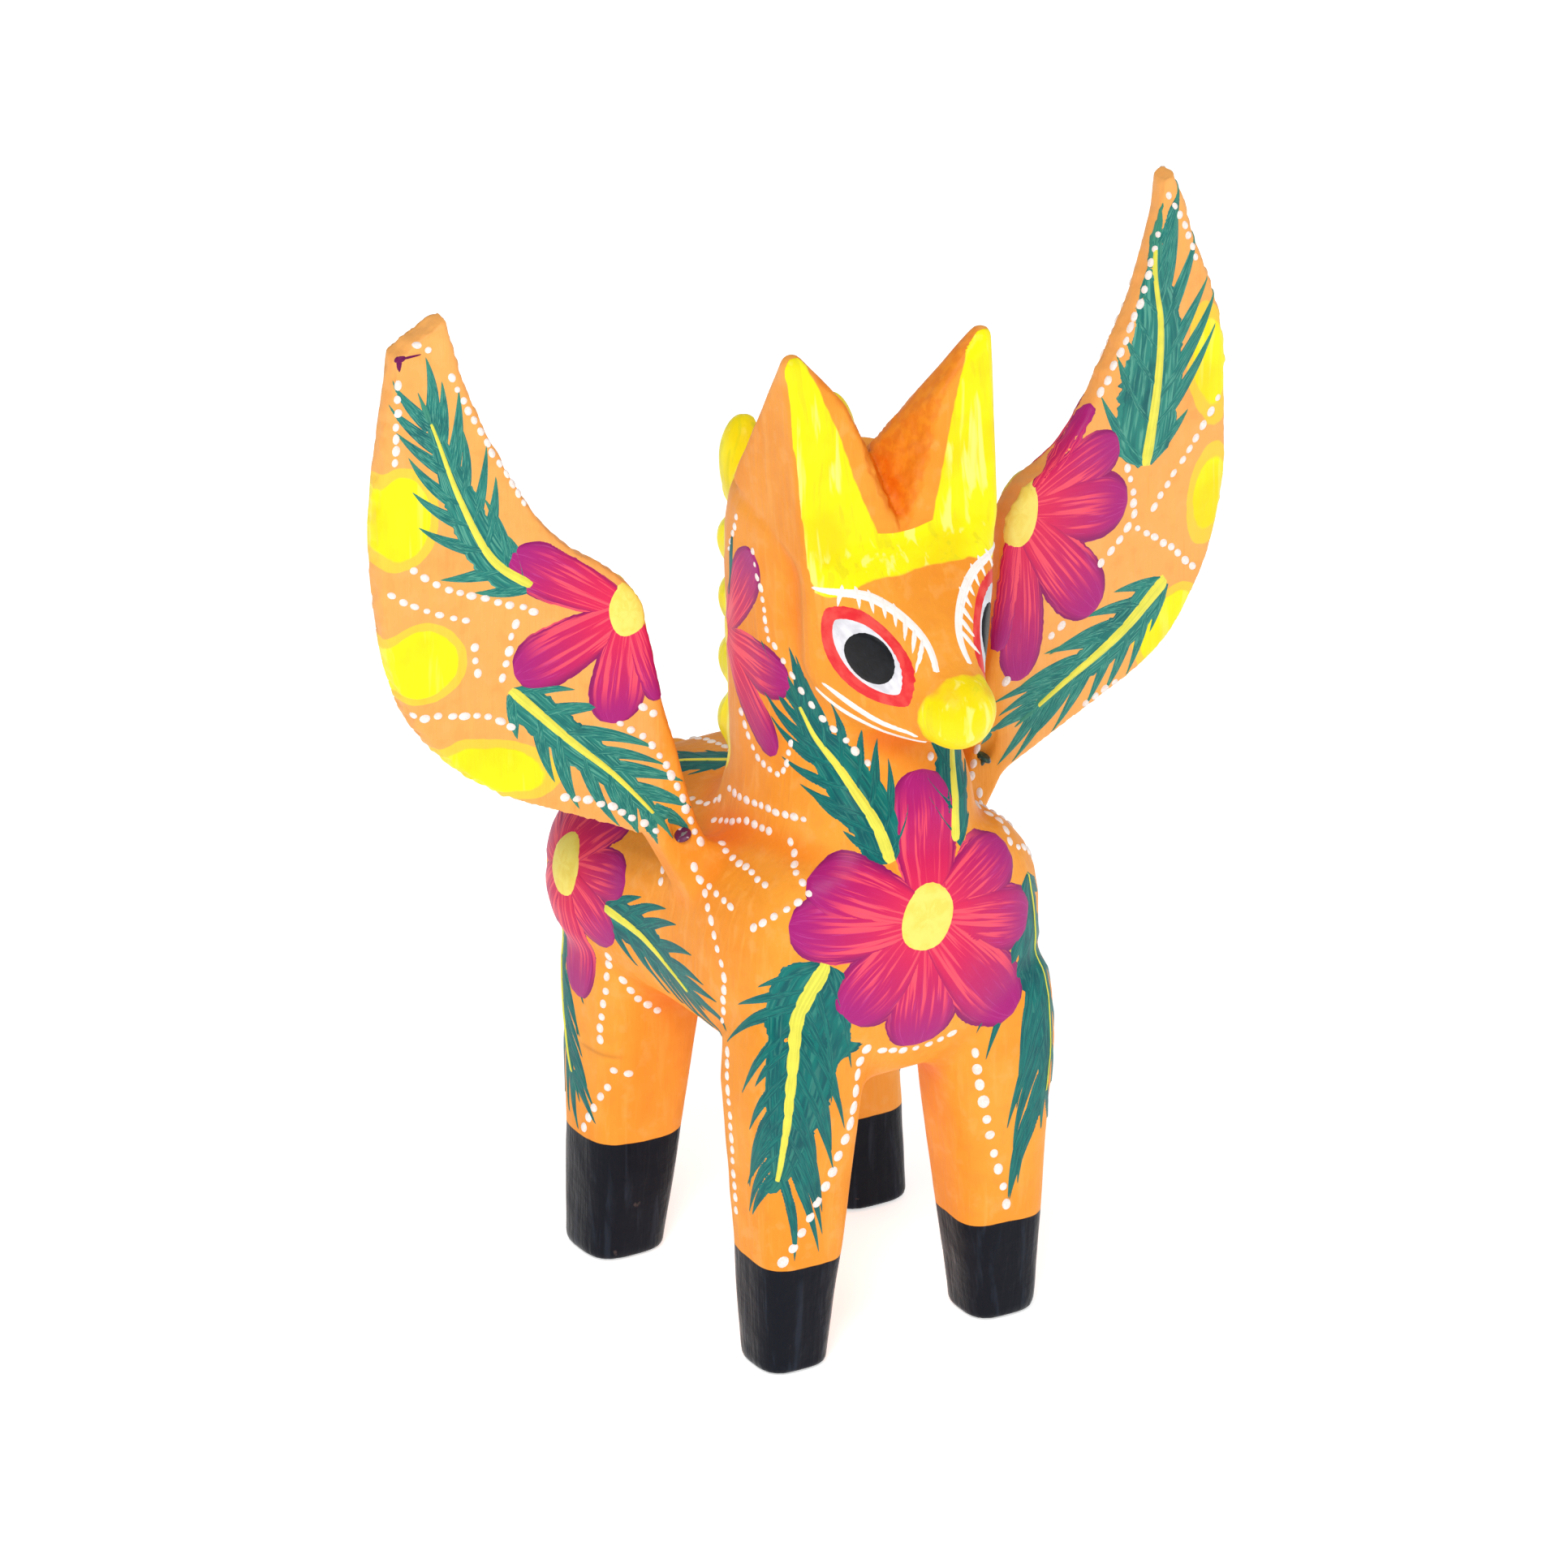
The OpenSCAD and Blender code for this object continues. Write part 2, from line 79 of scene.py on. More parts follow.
def soft_light(name, place, size, watts, colour):
    data = bpy.data.lights.new(name, "AREA")
    data.shape = "DISK"
    data.size = size
    data.energy = watts
    data.color = colour
    light = bpy.data.objects.new(name, data)
    light.location = place
    light.rotation_mode = "QUATERNION"
    light.rotation_quaternion = (CAMERA_TARGET - Vector(place)).to_track_quat("-Z", "Y")
    bpy.context.scene.collection.objects.link(light)


def make_studio():
    world = bpy.data.worlds.new("studio")
    world.use_nodes = True
    sky = world.node_tree.nodes["Background"]
    sky.inputs["Color"].default_value = (1.0, 1.0, 1.0, 1)
    sky.inputs["Strength"].default_value = 0.41
    bpy.context.scene.world = world
    bpy.context.scene.view_settings.view_transform = "Standard"
    soft_light("key", (-0.85, -1.0, 1.35), 0.6, 17, (1.0, 0.99, 0.975))
    soft_light("fill", (1.3, -0.6, 0.9), 1.1, 4, (0.98, 0.99, 1.0))

    bm = bmesh.new()
    bmesh.ops.create_grid(bm, x_segments=24, y_segments=24, size=3.0)
    mesh = bpy.data.meshes.new("floor")
    bm.to_mesh(mesh)
    bm.free()
    floor = bpy.data.objects.new("floor", mesh)
    floor.location = (0, 0, -0.0002)
    bpy.context.scene.collection.objects.link(floor)
    material = bpy.data.materials.new("floor_paper")
    material.use_nodes = True
    paper = {"Base Color": (0.95, 0.95, 0.95, 1), "Roughness": 0.85, "Emission Color": (1, 1, 1, 1),
             "Emission Strength": 0.62}
    for name, value in paper.items():
        material.node_tree.nodes["Principled BSDF"].inputs[name].default_value = value
    mesh.materials.append(material)


make_camera()
make_studio()

# ---------------------------------------------------------------- the carved body as one distance field

VOXEL = 0.7
BAND = 9
FILLET = 4.2
WOOD_NODES = (
    "torso", "head_and_neck", "front_left_leg", "front_right_leg", "rear_left_leg", "rear_right_leg",
    "left_wing", "right_wing", "tail",
)
DOWEL_NODES = tuple(
    place + "_dowel" for place in ("neck", "front_left", "front_right", "rear_left", "rear_right"))
NAIL_TOP = (36.8, -11.0, 116.3)
NAIL_FOOT = (30.6, -7.6, 104.6)
NAIL_WELL = 2.1
EAR_NOTCH_FLOOR = 186.0
FACE_LOW = (-32, -74, 136)
FACE_HIGH = (32, -14, 200)
FACE_BLUR = 3.6
FACE_SWELL = 0.7
SHARP_SHARE = 0.35
EDGE_BLUR = 1.1
CROWD_REACH = 6
SAW_PITCH = 2.9
SAW_DEPTH = 1.15
WING_START = (40, 46)
# Height in millimetres, lattice size and seed of the broad marks of the knife.
UNDULATION = ((0.22, 15, 3), (0.10, 5.5, 5))
NOSE = np.array((0.0, -61.5, 157.1))
NOSE_RADIUS = 8.0
LOBE = (10.8, 8.2, 189.5)
LOBE_RADII = (4.9, 6.0, 10.6)
EAR_INNER_EDGE = ((184, 188.5, 190.5, 202, 212, 220, 229), (-9, -9, 6.5, 10.0, 13.5, 16.5, 20.0))


def node_triangles(names):
    """The vertices in millimetres and the triangles of several CAD nodes together."""
    points, triangles, start = [], [], 0
    for name in names:
        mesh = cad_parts[name].data
        mesh.calc_loop_triangles()
        co = np.empty(len(mesh.vertices) * 3, np.float32)
        mesh.vertices.foreach_get("co", co)
        tri = np.empty(len(mesh.loop_triangles) * 3, np.int32)
        mesh.loop_triangles.foreach_get("vertices", tri)
        points.append(co.reshape(-1, 3) / MM)
        triangles.append(tri.reshape(-1, 3) + start)
        start += len(mesh.vertices)
    return np.concatenate(points), np.concatenate(triangles).astype(np.uint32)


def level_set(points, triangles=None, quads=None):
    return openvdb.FloatGrid.createLevelSetFromPolygons(
        points=np.ascontiguousarray(points, np.float32), triangles=triangles, quads=quads,
        transform=openvdb.createLinearTransform(voxelSize=VOXEL), halfWidth=float(BAND),
    )


def filled_corners(grid, radius):
    """Grows the shape by a radius and shrinks it again, which fills its inside corners with fillets."""
    points, quads = grid.convertToQuads(radius)
    grown = level_set(points, quads=quads)
    points, quads = grown.convertToQuads(-radius)
    return level_set(points, quads=quads)


def blurred(field, voxels):
    """A Gaussian blur of a dense field."""
    reach = int(math.ceil(2.5 * voxels))
    taps = np.exp(-0.5 * (np.arange(-reach, reach + 1) / voxels) ** 2).astype(np.float32)
    taps /= taps.sum()
    for axis in range(3):
        padding = [(reach, reach) if a == axis else (0, 0) for a in range(3)]
        padded = np.pad(field, padding, mode="edge")
        total = np.zeros_like(field)
        for k, tap in enumerate(taps):
            cut = [slice(None)] * 3
            cut[axis] = slice(k, k + field.shape[axis])
            total += tap * padded[tuple(cut)]
        field = total
    return field


def ramp(value, low, high):
    t = np.clip((value - low) / (high - low), 0, 1)
    return t * t * (3 - 2 * t)


def smooth_union(a, b, width):
    h = np.clip(0.5 + 0.5 * (b - a) / width, 0, 1)
    return b + (a - b) * h - width * h * (1 - h)


def from_lobe(x, y, z):
    """How far points are from the middle of one of the mane's two top lobes, as a share of its radii."""
    offsets = (np.abs(x) - LOBE[0], y - LOBE[1], z - LOBE[2])
    return np.sqrt(sum((offset / radius) ** 2 for offset, radius in zip(offsets, LOBE_RADII)))


def carved_field():
    """The whole figure as a dense distance field in millimetres, with fillets and a rounded face."""
    points, triangles = node_triangles(WOOD_NODES + DOWEL_NODES)
    raw = level_set(points, triangles=triangles)
    filled = filled_corners(raw, FILLET)
    margin = 8
    low = np.floor(points.min(0) / VOXEL).astype(int) - margin
    high = np.ceil(points.max(0) / VOXEL).astype(int) + margin
    shape = tuple(high - low + 1)
    fields = []
    for grid in (raw, filled):
        dense = np.empty(shape, np.float32)
        grid.copyToArray(dense, ijk=tuple(int(v) for v in low))
        fields.append(dense)
    raw_field, filled_field = fields
    axes = [(np.arange(shape[a], dtype=np.float32) + low[a]) * VOXEL for a in range(3)]
    x, y, z = np.meshgrid(*axes, indexing="ij", sparse=True)

    ears = ramp(z, EAR_NOTCH_FLOOR - 3, EAR_NOTCH_FLOOR + 3)
    field = np.minimum(raw_field, filled_field) * (1 - ears) + raw_field * ears
    field = field * SHARP_SHARE + blurred(field, EDGE_BLUR) * (1 - SHARP_SHARE)

    block = tuple(
        slice(*(int((edge - start * VOXEL) / VOXEL) for edge in edges))
        for *edges, start in zip(FACE_LOW, FACE_HIGH, low)
    )
    bx, by, bz = x[block[0]], y[:, block[1]], z[:, :, block[2]]
    face = field[block]
    soft = blurred(face, FACE_BLUR)
    share = ramp(-by, 26, 38) * (1 - ramp(bz, 184, 190)) * ramp(bz, 138, 146)
    face = face * (1 - share) + (soft - FACE_SWELL) * share
    nose = np.sqrt((bx - NOSE[0]) ** 2 + (by - NOSE[1]) ** 2 + (bz - NOSE[2]) ** 2) - NOSE_RADIUS
    face = smooth_union(face, nose, 0.8)
    field[block] = face
    field = smooth_union(field, (from_lobe(x, y, z) - 1) * LOBE_RADII[0], 1.2)
    for side in (-1, 1):
        start, end = (np.array((side * a, b, c)) for a, b, c in (NAIL_TOP, NAIL_FOOT))
        way = (start - end) / np.linalg.norm(start - end)
        out = [axis - start[a] for a, axis in enumerate((x, y, z))]
        above = sum(out[a] * way[a] for a in range(3))
        off = np.sqrt(sum((out[a] - above * way[a]) ** 2 for a in range(3)))
        well = np.maximum(off - NAIL_WELL, np.maximum(0.2 - above, above - 9))
        field = np.maximum(field, -well)
    return field.astype(np.float32), low


def crowding(field):
    """How much of the space near each voxel is solid: about 0.5 on flat wood, more in inside corners."""
    solid = np.clip(0.5 - field / (2 * VOXEL), 0, 1)
    return blurred(solid, CROWD_REACH)


def sampled(field, low, points):
    """A dense field's value at points in millimetres."""
    q = points / VOXEL - low
    base = np.clip(np.floor(q).astype(int), 0, np.array(field.shape) - 2)
    f = q - base
    total = np.zeros(len(points), np.float32)
    for corner in range(8):
        step = np.array((corner & 1, corner >> 1 & 1, corner >> 2 & 1))
        weight = np.prod(np.where(step, f, 1 - f), axis=1)
        i = base + step
        total += weight * field[i[:, 0], i[:, 1], i[:, 2]]
    return total


def lattice_noise(points, size, seed):
    """Smooth value noise from -1 to 1 on a lattice of the given size in millimetres."""
    q = points / size
    base = np.floor(q).astype(np.int64)
    f = q - base
    f = f * f * (3 - 2 * f)
    total = np.zeros(len(points))
    for corner in range(8):
        step = np.array((corner & 1, corner >> 1 & 1, corner >> 2 & 1))
        i = base + step
        h = (i[:, 0] * 73856093) ^ (i[:, 1] * 19349663) ^ (i[:, 2] * 83492791) ^ (seed * 2654435761)
        h = ((h ^ (h >> 13)) * 1274126177) & 0xFFFFFFFF
        h = ((h ^ (h >> 15)) * 2246822519) & 0xFFFFFFFF
        value = ((h >> 8) & 0xFFFF) / 32767.5 - 1
        total += value * np.prod(np.where(step, f, 1 - f), axis=1)
    return total


def vertex_normals(points, quads):
    a, b, c, d = (points[quads[:, k]] for k in range(4))
    face = np.cross(c - a, d - b)
    normals = np.zeros_like(points)
    for k in range(4):
        np.add.at(normals, quads[:, k], face)
    return normals / np.maximum(np.linalg.norm(normals, axis=1, keepdims=True), 1e-9)


def notch_share(points, normals):
    """How much a point belongs to the rough inner faces between the ears, from 0 to 1."""
    x, _, z = points.T
    inward = ramp(-normals[:, 0] * np.sign(x), 0.15, 0.45)
    return ramp(z, 187, 191) * inward * (np.abs(x) < 24)


class Skin:
    """The carved surface: its points, quads, normals, and per-point paint fields."""

    def __init__(self):
        field, low = carved_field()
        grid = openvdb.FloatGrid(float(BAND) * VOXEL)
        grid.transform = openvdb.createLinearTransform(voxelSize=VOXEL)
        grid.copyFromArray(field, ijk=tuple(int(v) for v in low))
        points, quads = grid.convertToQuads(0.0)
        self.quads = quads.astype(np.int64)
        points = points.astype(np.float64)
        normals = vertex_normals(points, self.quads)
        outward = sampled(field, low, points + normals * 1.4) - sampled(field, low, points - normals * 1.4)
        if np.median(outward) < 0:
            self.quads = self.quads[:, ::-1]
            normals = -normals
        self.crowding = sampled(crowding(field), low, points)
        points = self.worked(points, normals)
        self.points = points
        self.normals = vertex_normals(points, self.quads)
        self.tree = BVHTree.FromPolygons(points.tolist(), self.quads.tolist())

    def worked(self, points, normals):
        """Knife and sandpaper marks: broad undulation everywhere, and ragged saw marks on the wings' rims."""
        x, y, z = points.T
        depth = sum(height * lattice_noise(points, size, seed) for height, size, seed in UNDULATION)
        on_wing = ramp(np.abs(x), *WING_START) * ramp(z, 96, 102)
        rim = on_wing * ramp(1 - np.abs(normals[:, 1]), 0.20, 0.55)
        ragged = lattice_noise(points * (1, 0.35, 1), 3.2, 11)
        depth += rim * (0.6 * np.abs(ragged) - 0.40 + 0.3 * lattice_noise(points, 1.6, 12))
        bites = np.abs(np.sin((0.9 * np.abs(x) + 0.43 * z) * math.pi / SAW_PITCH + 0.6 * ragged))
        sawn = rim * ramp(-normals[:, 2], 0.15, 0.4) * np.where(x > 0, 1, 0.35)
        depth -= sawn * SAW_DEPTH * bites
        depth += notch_share(points, normals) * ramp(218 - z, 0, 12) * 0.45 * lattice_noise(points, 1.7, 21)
        depth = np.where(z < 3, depth * ramp(z, 0.4, 3), depth)
        return points + normals * depth[:, None]

    def snap(self, point):
        """The nearest place on the surface, with a smooth normal."""
        place, _, index, _ = self.tree.find_nearest(point)
        normal = self.normals[self.quads[index]].mean(0)
        return np.array(place), normal / np.linalg.norm(normal)


skin = Skin()

# ---------------------------------------------------------------- paint fields on the wood

HOOF_TOPS = {"front_right_leg": 26.0, "front_left_leg": 24.0, "rear_right_leg": 28.0, "rear_left_leg": 22.0}
LEG_TOP = 50.0
NECK_SEAT = (-15.5, 114.0, math.tan(math.radians(5)))
WING_FOOT = (30.6, 104.6)
WING_FOOT_NORMAL = (0.765, 0.644)
WING_INNER_X = 25.5
WING_FOOT_Z = 97
WING_BACK_Y = 18
TAIL_SEAT_Y = 54.0
TAIL_HALF_WIDTH = 9.5
TAIL_TOP = 104
MID_Y = -6
BROW_Z = 183.5
MANE_FOOT = 121
MANE_TOP = 206
MANE_HALF_WIDTH = 27
SCALLOP_FOOT = 118
SCALLOP_PITCH = 16.5
PAINT_REACH = 9.0
RIGHT_BLOBS = ((-99, 200, 8.5, 11.5, 0), (-94.5, 166, 10, 9.5, -10), (-79, 139, 16, 7, -14))
LEFT_BLOBS = ((99, 190, 6.5, 15, 8), (99, 159, 6.5, 12, -6), (88, 131, 11, 9, 38))


def ellipse_field(x, z, blob):
    """About how far a point in a wing's plane is inside a blob of centre, half sizes and turn in degrees."""
    cx, cz, rx, rz, turn = blob
    c, s = math.cos(math.radians(turn)), math.sin(math.radians(turn))
    u = ((x - cx) * c + (z - cz) * s) / rx
    v = (-(x - cx) * s + (z - cz) * c) / rz
    return (1 - np.sqrt(u * u + v * v)) * min(rx, rz)


def wood_pieces(points):
    """The CAD node that each point of the skin belongs to."""
    x, y, z = points.T
    names = np.full(len(points), "torso", dtype=object)
    neck_y, neck_z, slope = NECK_SEAT
    names[z > neck_z - slope * (y - neck_y)] = "head_and_neck"
    wing = (np.abs(x) - WING_FOOT[0]) * WING_FOOT_NORMAL[0] + (z - WING_FOOT[1]) * WING_FOOT_NORMAL[1]
    wing_side = (wing > 0.3) & (np.abs(x) > WING_INNER_X) & (z > WING_FOOT_Z) & (y < WING_BACK_Y)
    names[wing_side & (x > 0)] = "left_wing"
    names[wing_side & (x < 0)] = "right_wing"
    names[(y > TAIL_SEAT_Y) & (np.abs(x) < TAIL_HALF_WIDTH) & (z < TAIL_TOP)] = "tail"
    for end, there in (("front", y < MID_Y), ("rear", y >= MID_Y)):
        names[(z < LEG_TOP) & there & (x > 0)] = end + "_left_leg"
        names[(z < LEG_TOP) & there & (x < 0)] = end + "_right_leg"
    return names


def ear_paint(points, normals):
    """Millimetres inside the yellow on the fronts of the ears and above the brow."""
    x, y, z = points.T
    lower = BROW_Z - 2.6 * ramp(np.abs(x), 12, 20) + 1.0 * lattice_noise(points, 9, 31)
    front = (-normals[:, 1] - 0.42) * 9 + 0.5 * lattice_noise(points, 6, 32)
    inner = np.interp(z, *EAR_INNER_EDGE) + 0.6 * lattice_noise(points, 8, 36)
    return np.minimum(np.minimum(z - lower, front), np.minimum(-y - 22, np.abs(x) - inner))


def mane_paint(points, normals):
    """Millimetres inside the yellow on the mane and its two lobes, but not in the notch between the ears."""
    x, y, z = points.T
    scallop = np.abs(np.sin((z - SCALLOP_FOOT) * math.pi / SCALLOP_PITCH))
    nape = y - (9.5 - (9 + 5 * ramp(z, 180, 188)) * scallop ** 0.7) - 30 * ramp(z, 202, 208)
    notch = np.maximum(notch_share(points, normals), ramp(normals[:, 2], 0.2, 0.5))
    nape -= 14 * ramp(z, 185, 188) * notch
    mane = np.minimum(nape, np.minimum(z - MANE_FOOT, MANE_TOP - z))
    mane = np.maximum(mane, (1.15 - from_lobe(x, y, z)) * LOBE_RADII[0])
    return np.where(np.abs(x) < MANE_HALF_WIDTH, mane, -PAINT_REACH)


def paint_fields(points, normals):
    """Per point: millimetres inside the yellow paint and inside the black hooves."""
    x, _, z = points.T
    nose = NOSE_RADIUS + 0.7 - np.linalg.norm(points - NOSE, axis=1) + 0.25 * lattice_noise(points, 5, 33)
    yellow = np.maximum(np.maximum(ear_paint(points, normals), nose), mane_paint(points, normals))
    for blob in RIGHT_BLOBS + LEFT_BLOBS:
        inside = ellipse_field(x, z, blob) + 0.6 * lattice_noise(points, 7, 34)
        yellow = np.where(np.sign(x) == np.sign(blob[0]), np.maximum(yellow, inside), yellow)
    hoof = np.full(len(points), -PAINT_REACH)
    names = wood_pieces(points)
    for leg, top in HOOF_TOPS.items():
        edge = top + 0.7 * lattice_noise(points, 11, 35) - z
        hoof = np.where(names == leg, edge, hoof)
    return np.clip(yellow, -PAINT_REACH, PAINT_REACH), np.clip(hoof, -PAINT_REACH, PAINT_REACH)


# ---------------------------------------------------------------- materials


def linear(red, green, blue):
    """A colour given as 0 to 255 on a screen, as the shader's linear value."""
    parts = [c / 255 for c in (red, green, blue)]
    return tuple(c / 12.92 if c <= 0.04045 else ((c + 0.055) / 1.055) ** 2.4 for c in parts) + (1.0,)


class Shader:
    """A node material, built with short calls."""

    def __init__(self, name, specular):
        self.material = bpy.data.materials.new(name)
        self.material.use_nodes = True
        self.tree = self.material.node_tree
        self.surface = self.tree.nodes["Principled BSDF"]
        self.surface.inputs["Specular IOR Level"].default_value = specular
        self.place = self.node("ShaderNodeTexCoord")["Object"]

    def node(self, kind, inputs=(), **settings):
        """The outputs of a new node with the settings and inputs given."""
        made = self.tree.nodes.new(kind)
        for key, value in settings.items():
            setattr(made, key, value)
        for key, value in dict(inputs).items():
            self.feed(made.inputs[key], value)
        return made.outputs

    def feed(self, socket, value):
        if isinstance(value, bpy.types.NodeSocket):
            self.tree.links.new(value, socket)
        else:
            socket.default_value = value

    def attribute(self, name):
        return self.node("ShaderNodeAttribute", attribute_name=name)["Fac"]

    def maths(self, operation, a, b=0.0):
        return self.node("ShaderNodeMath", {0: a, 1: b}, operation=operation)[0]

    def plus(self, a, b):
        return self.maths("ADD", a, b)

    def minus(self, a, b):
        return self.maths("SUBTRACT", a, b)

    def times(self, a, b):
        return self.maths("MULTIPLY", a, b)

    def fade(self, value, low, high):
        inputs = {"Value": value, "From Min": low, "From Max": high}
        return self.node("ShaderNodeMapRange", inputs, interpolation_type="SMOOTHSTEP")["Result"]

    def mix(self, share, a, b):
        """A mix of two colours, each a socket or a screen colour."""
        a, b = (linear(*c) if isinstance(c, tuple) else c for c in (a, b))
        return self.node("ShaderNodeMix", {"Factor": share, "A": a, "B": b}, data_type="RGBA")["Result"]

    def over(self, base, share, strength, colour):
        """The base with a colour laid over it where share says, and no stronger than strength."""
        return self.mix(self.times(share, strength), base, colour)

    def stretched(self, scale):
        return self.node("ShaderNodeMapping", {"Vector": self.place, "Scale": scale})["Vector"]

    def noise(self, scale, detail=3.0, vector=None, distortion=0.0):
        inputs = {"Vector": vector or self.place, "Scale": scale, "Detail": detail, "Distortion": distortion}
        return self.node("ShaderNodeTexNoise", inputs)["Fac"]

    def stroke_place(self, across, along, tone):
        """Where a point is on its own brush stroke, scaled three ways, so that streaks follow the stroke."""
        scales = {"across": across, "along": along, "tone": tone}
        parts = [self.times(self.attribute(name), scale) for name, scale in scales.items()]
        return self.node("ShaderNodeCombineXYZ", enumerate(parts))["Vector"]

    def bump(self, height, strength, distance, base=None):
        inputs = {"Height": height, "Strength": strength, "Distance": distance}
        if base is not None:
            inputs["Normal"] = base
        return self.node("ShaderNodeBump", inputs)["Normal"]

    def done(self, colour, roughness, normal):
        self.feed(self.surface.inputs["Base Color"], colour)
        self.feed(self.surface.inputs["Roughness"], roughness)
        self.feed(self.surface.inputs["Normal"], normal)
        return self.material


PAINT_SPECULAR = 0.20


def wood_orange(s, clouds, strokes, grain):
    """Orange acrylic, paler on the rims and torn between the ears, with painted light that makes it paler on
    the wings and painted shade that makes it deeper in recesses.
    """
    crowd, mottle = s.attribute("crowd"), s.noise(240, 4)
    orange = s.mix(s.fade(clouds, 0.35, 0.68), (245, 160, 52), (238, 146, 38))
    # Painted light: the wings' orange is paler, as if they were more brightly lit than the body.
    orange = s.over(orange, s.attribute("on_wing"), 0.65, (244, 178, 104))
    orange = s.over(orange, s.fade(mottle, 0.52, 0.70), 0.16, (224, 126, 44))
    orange = s.over(orange, s.fade(mottle, 0.46, 0.32), 0.16, (250, 190, 120))
    orange = s.over(orange, s.fade(strokes, 0.52, 0.72), 0.35, (249, 176, 84))
    orange = s.over(orange, s.fade(grain, 0.6, 0.8), 0.22, (222, 128, 40))
    # Painted shade: deeper orange where the wood is crowded, in inside corners and recesses.
    orange = s.over(orange, s.fade(crowd, 0.49, 0.64), 0.85, (240, 118, 12))
    rim = s.fade(s.plus(crowd, s.times(clouds, 0.08)), 0.33, 0.25)
    orange = s.over(orange, rim, 0.4, (246, 176, 98))
    torn = s.mix(s.fade(s.noise(420, 4), 0.42, 0.62), (226, 110, 6), (240, 136, 16))
    orange = s.over(orange, s.attribute("notch"), 0.6, torn)
    return s.over(orange, s.attribute("crease"), 0.45, (178, 100, 34))


def wood_yellow(s, on_wing):
    """Yellow acrylic with pale brush marks and greenish streaks, which are partly brush marks and partly
    painted shade; all are fainter on the wings.
    """
    pull = s.noise(1, 3, s.stretched((300, 300, 24)), 0.5)
    brushed = s.minus(0.55, s.times(on_wing, 0.35))
    yellow = s.mix(s.fade(s.noise(55, 3), 0.42, 0.66), (252, 238, 4), (244, 218, 0))
    yellow = s.over(yellow, s.fade(pull, 0.56, 0.66), brushed, (252, 248, 150))
    # Partly painted shade: greenish streaks that stand in for shading on the yellow as well as for brush
    # marks.
    return s.over(yellow, s.fade(pull, 0.44, 0.36), brushed, (218, 210, 20))


def wood_paint():
    """Orange acrylic on carved wood, with the yellow and black areas masked by the paint fields."""
    s = Shader("painted_wood", PAINT_SPECULAR)
    on_wing = s.attribute("on_wing")
    clouds = s.noise(38, 4)
    strokes = s.noise(1, 3, s.stretched((420, 420, 60)), 0.6)
    grain = s.noise(1, 2, s.stretched((900, 900, 45)), 0.3)
    orange = wood_orange(s, clouds, strokes, grain)

    yellow_edge = s.plus(s.attribute("yellow"), s.times(s.minus(s.noise(150, 2), 0.5), 1.6))
    wash = s.mix(0.5, orange, (250, 228, 10))
    colour = s.mix(s.fade(yellow_edge, -0.12, 0.12), orange, wash)
    solid = s.fade(s.minus(yellow_edge, s.times(on_wing, 1.7)), -0.15, 0.35)
    colour = s.mix(solid, colour, wood_yellow(s, on_wing))

    hoof_edge = s.plus(s.attribute("hoof"), s.times(s.minus(s.noise(120, 2), 0.5), 0.9))
    black_share = s.fade(hoof_edge, -0.10, 0.10)
    black = s.mix(s.fade(strokes, 0.5, 0.75), (14, 18, 28), (32, 38, 50))
    black = s.mix(s.fade(s.noise(260, 3), 0.70, 0.76), black, (66, 56, 56))
    colour = s.mix(black_share, colour, black)

    rough = s.plus(0.40, s.times(clouds, 0.22))
    rough = s.minus(rough, s.times(black_share, 0.20))
    rough = s.minus(rough, s.times(solid, 0.10))
    shine = s.minus(PAINT_SPECULAR, s.times(black_share, 0.10))
    s.feed(s.surface.inputs["Specular IOR Level"], shine)
    normal = s.bump(s.noise(110, 3), 0.45, 0.0007)
    normal = s.bump(s.noise(330, 4), 0.40, 0.0004, normal)
    normal = s.bump(strokes, 0.45, 0.0004, normal)
    normal = s.bump(grain, 0.35, 0.00035, normal)
    normal = s.bump(s.noise(900, 2), 0.20, 0.00015, normal)
    normal = s.bump(s.plus(solid, black_share), 0.5, 0.00012, normal)
    return s.done(colour, rough, normal)


def petal_paint():
    """Pink at the flower's centre and purple at the tips and edges, with hot and pale streaks."""
    s = Shader("petal_paint", PAINT_SPECULAR)
    along = s.attribute("along")
    fan = s.stroke_place(4.5, 0.8, 40.0)
    streak = s.noise(1.7, 3, fan, 0.3)
    fine = s.noise(4.5, 2, fan, 0.2)
    colour = s.mix(s.fade(along, 0.18, 0.62), (222, 36, 86), (196, 28, 98))
    colour = s.mix(s.fade(along, 0.50, 0.95), colour, (168, 26, 118))
    edge = s.fade(s.maths("ABSOLUTE", s.attribute("across")), 0.60, 0.96)
    colour = s.over(colour, edge, 0.92, (130, 10, 94))
    reach = s.minus(1.0, s.fade(along, 0.55, 0.92))
    hot = s.times(s.fade(streak, 0.50, 0.60), reach)
    colour = s.over(colour, hot, 0.9, (248, 84, 104))
    pale = s.times(s.fade(fine, 0.58, 0.70), s.fade(along, 0.35, 0.7))
    colour = s.over(colour, pale, 0.35, (196, 78, 158))
    normal = s.bump(streak, 0.35, 0.0003, s.bump(s.noise(300, 3), 0.3, 0.0003))
    return s.done(colour, s.plus(0.34, s.times(fine, 0.2)), normal)


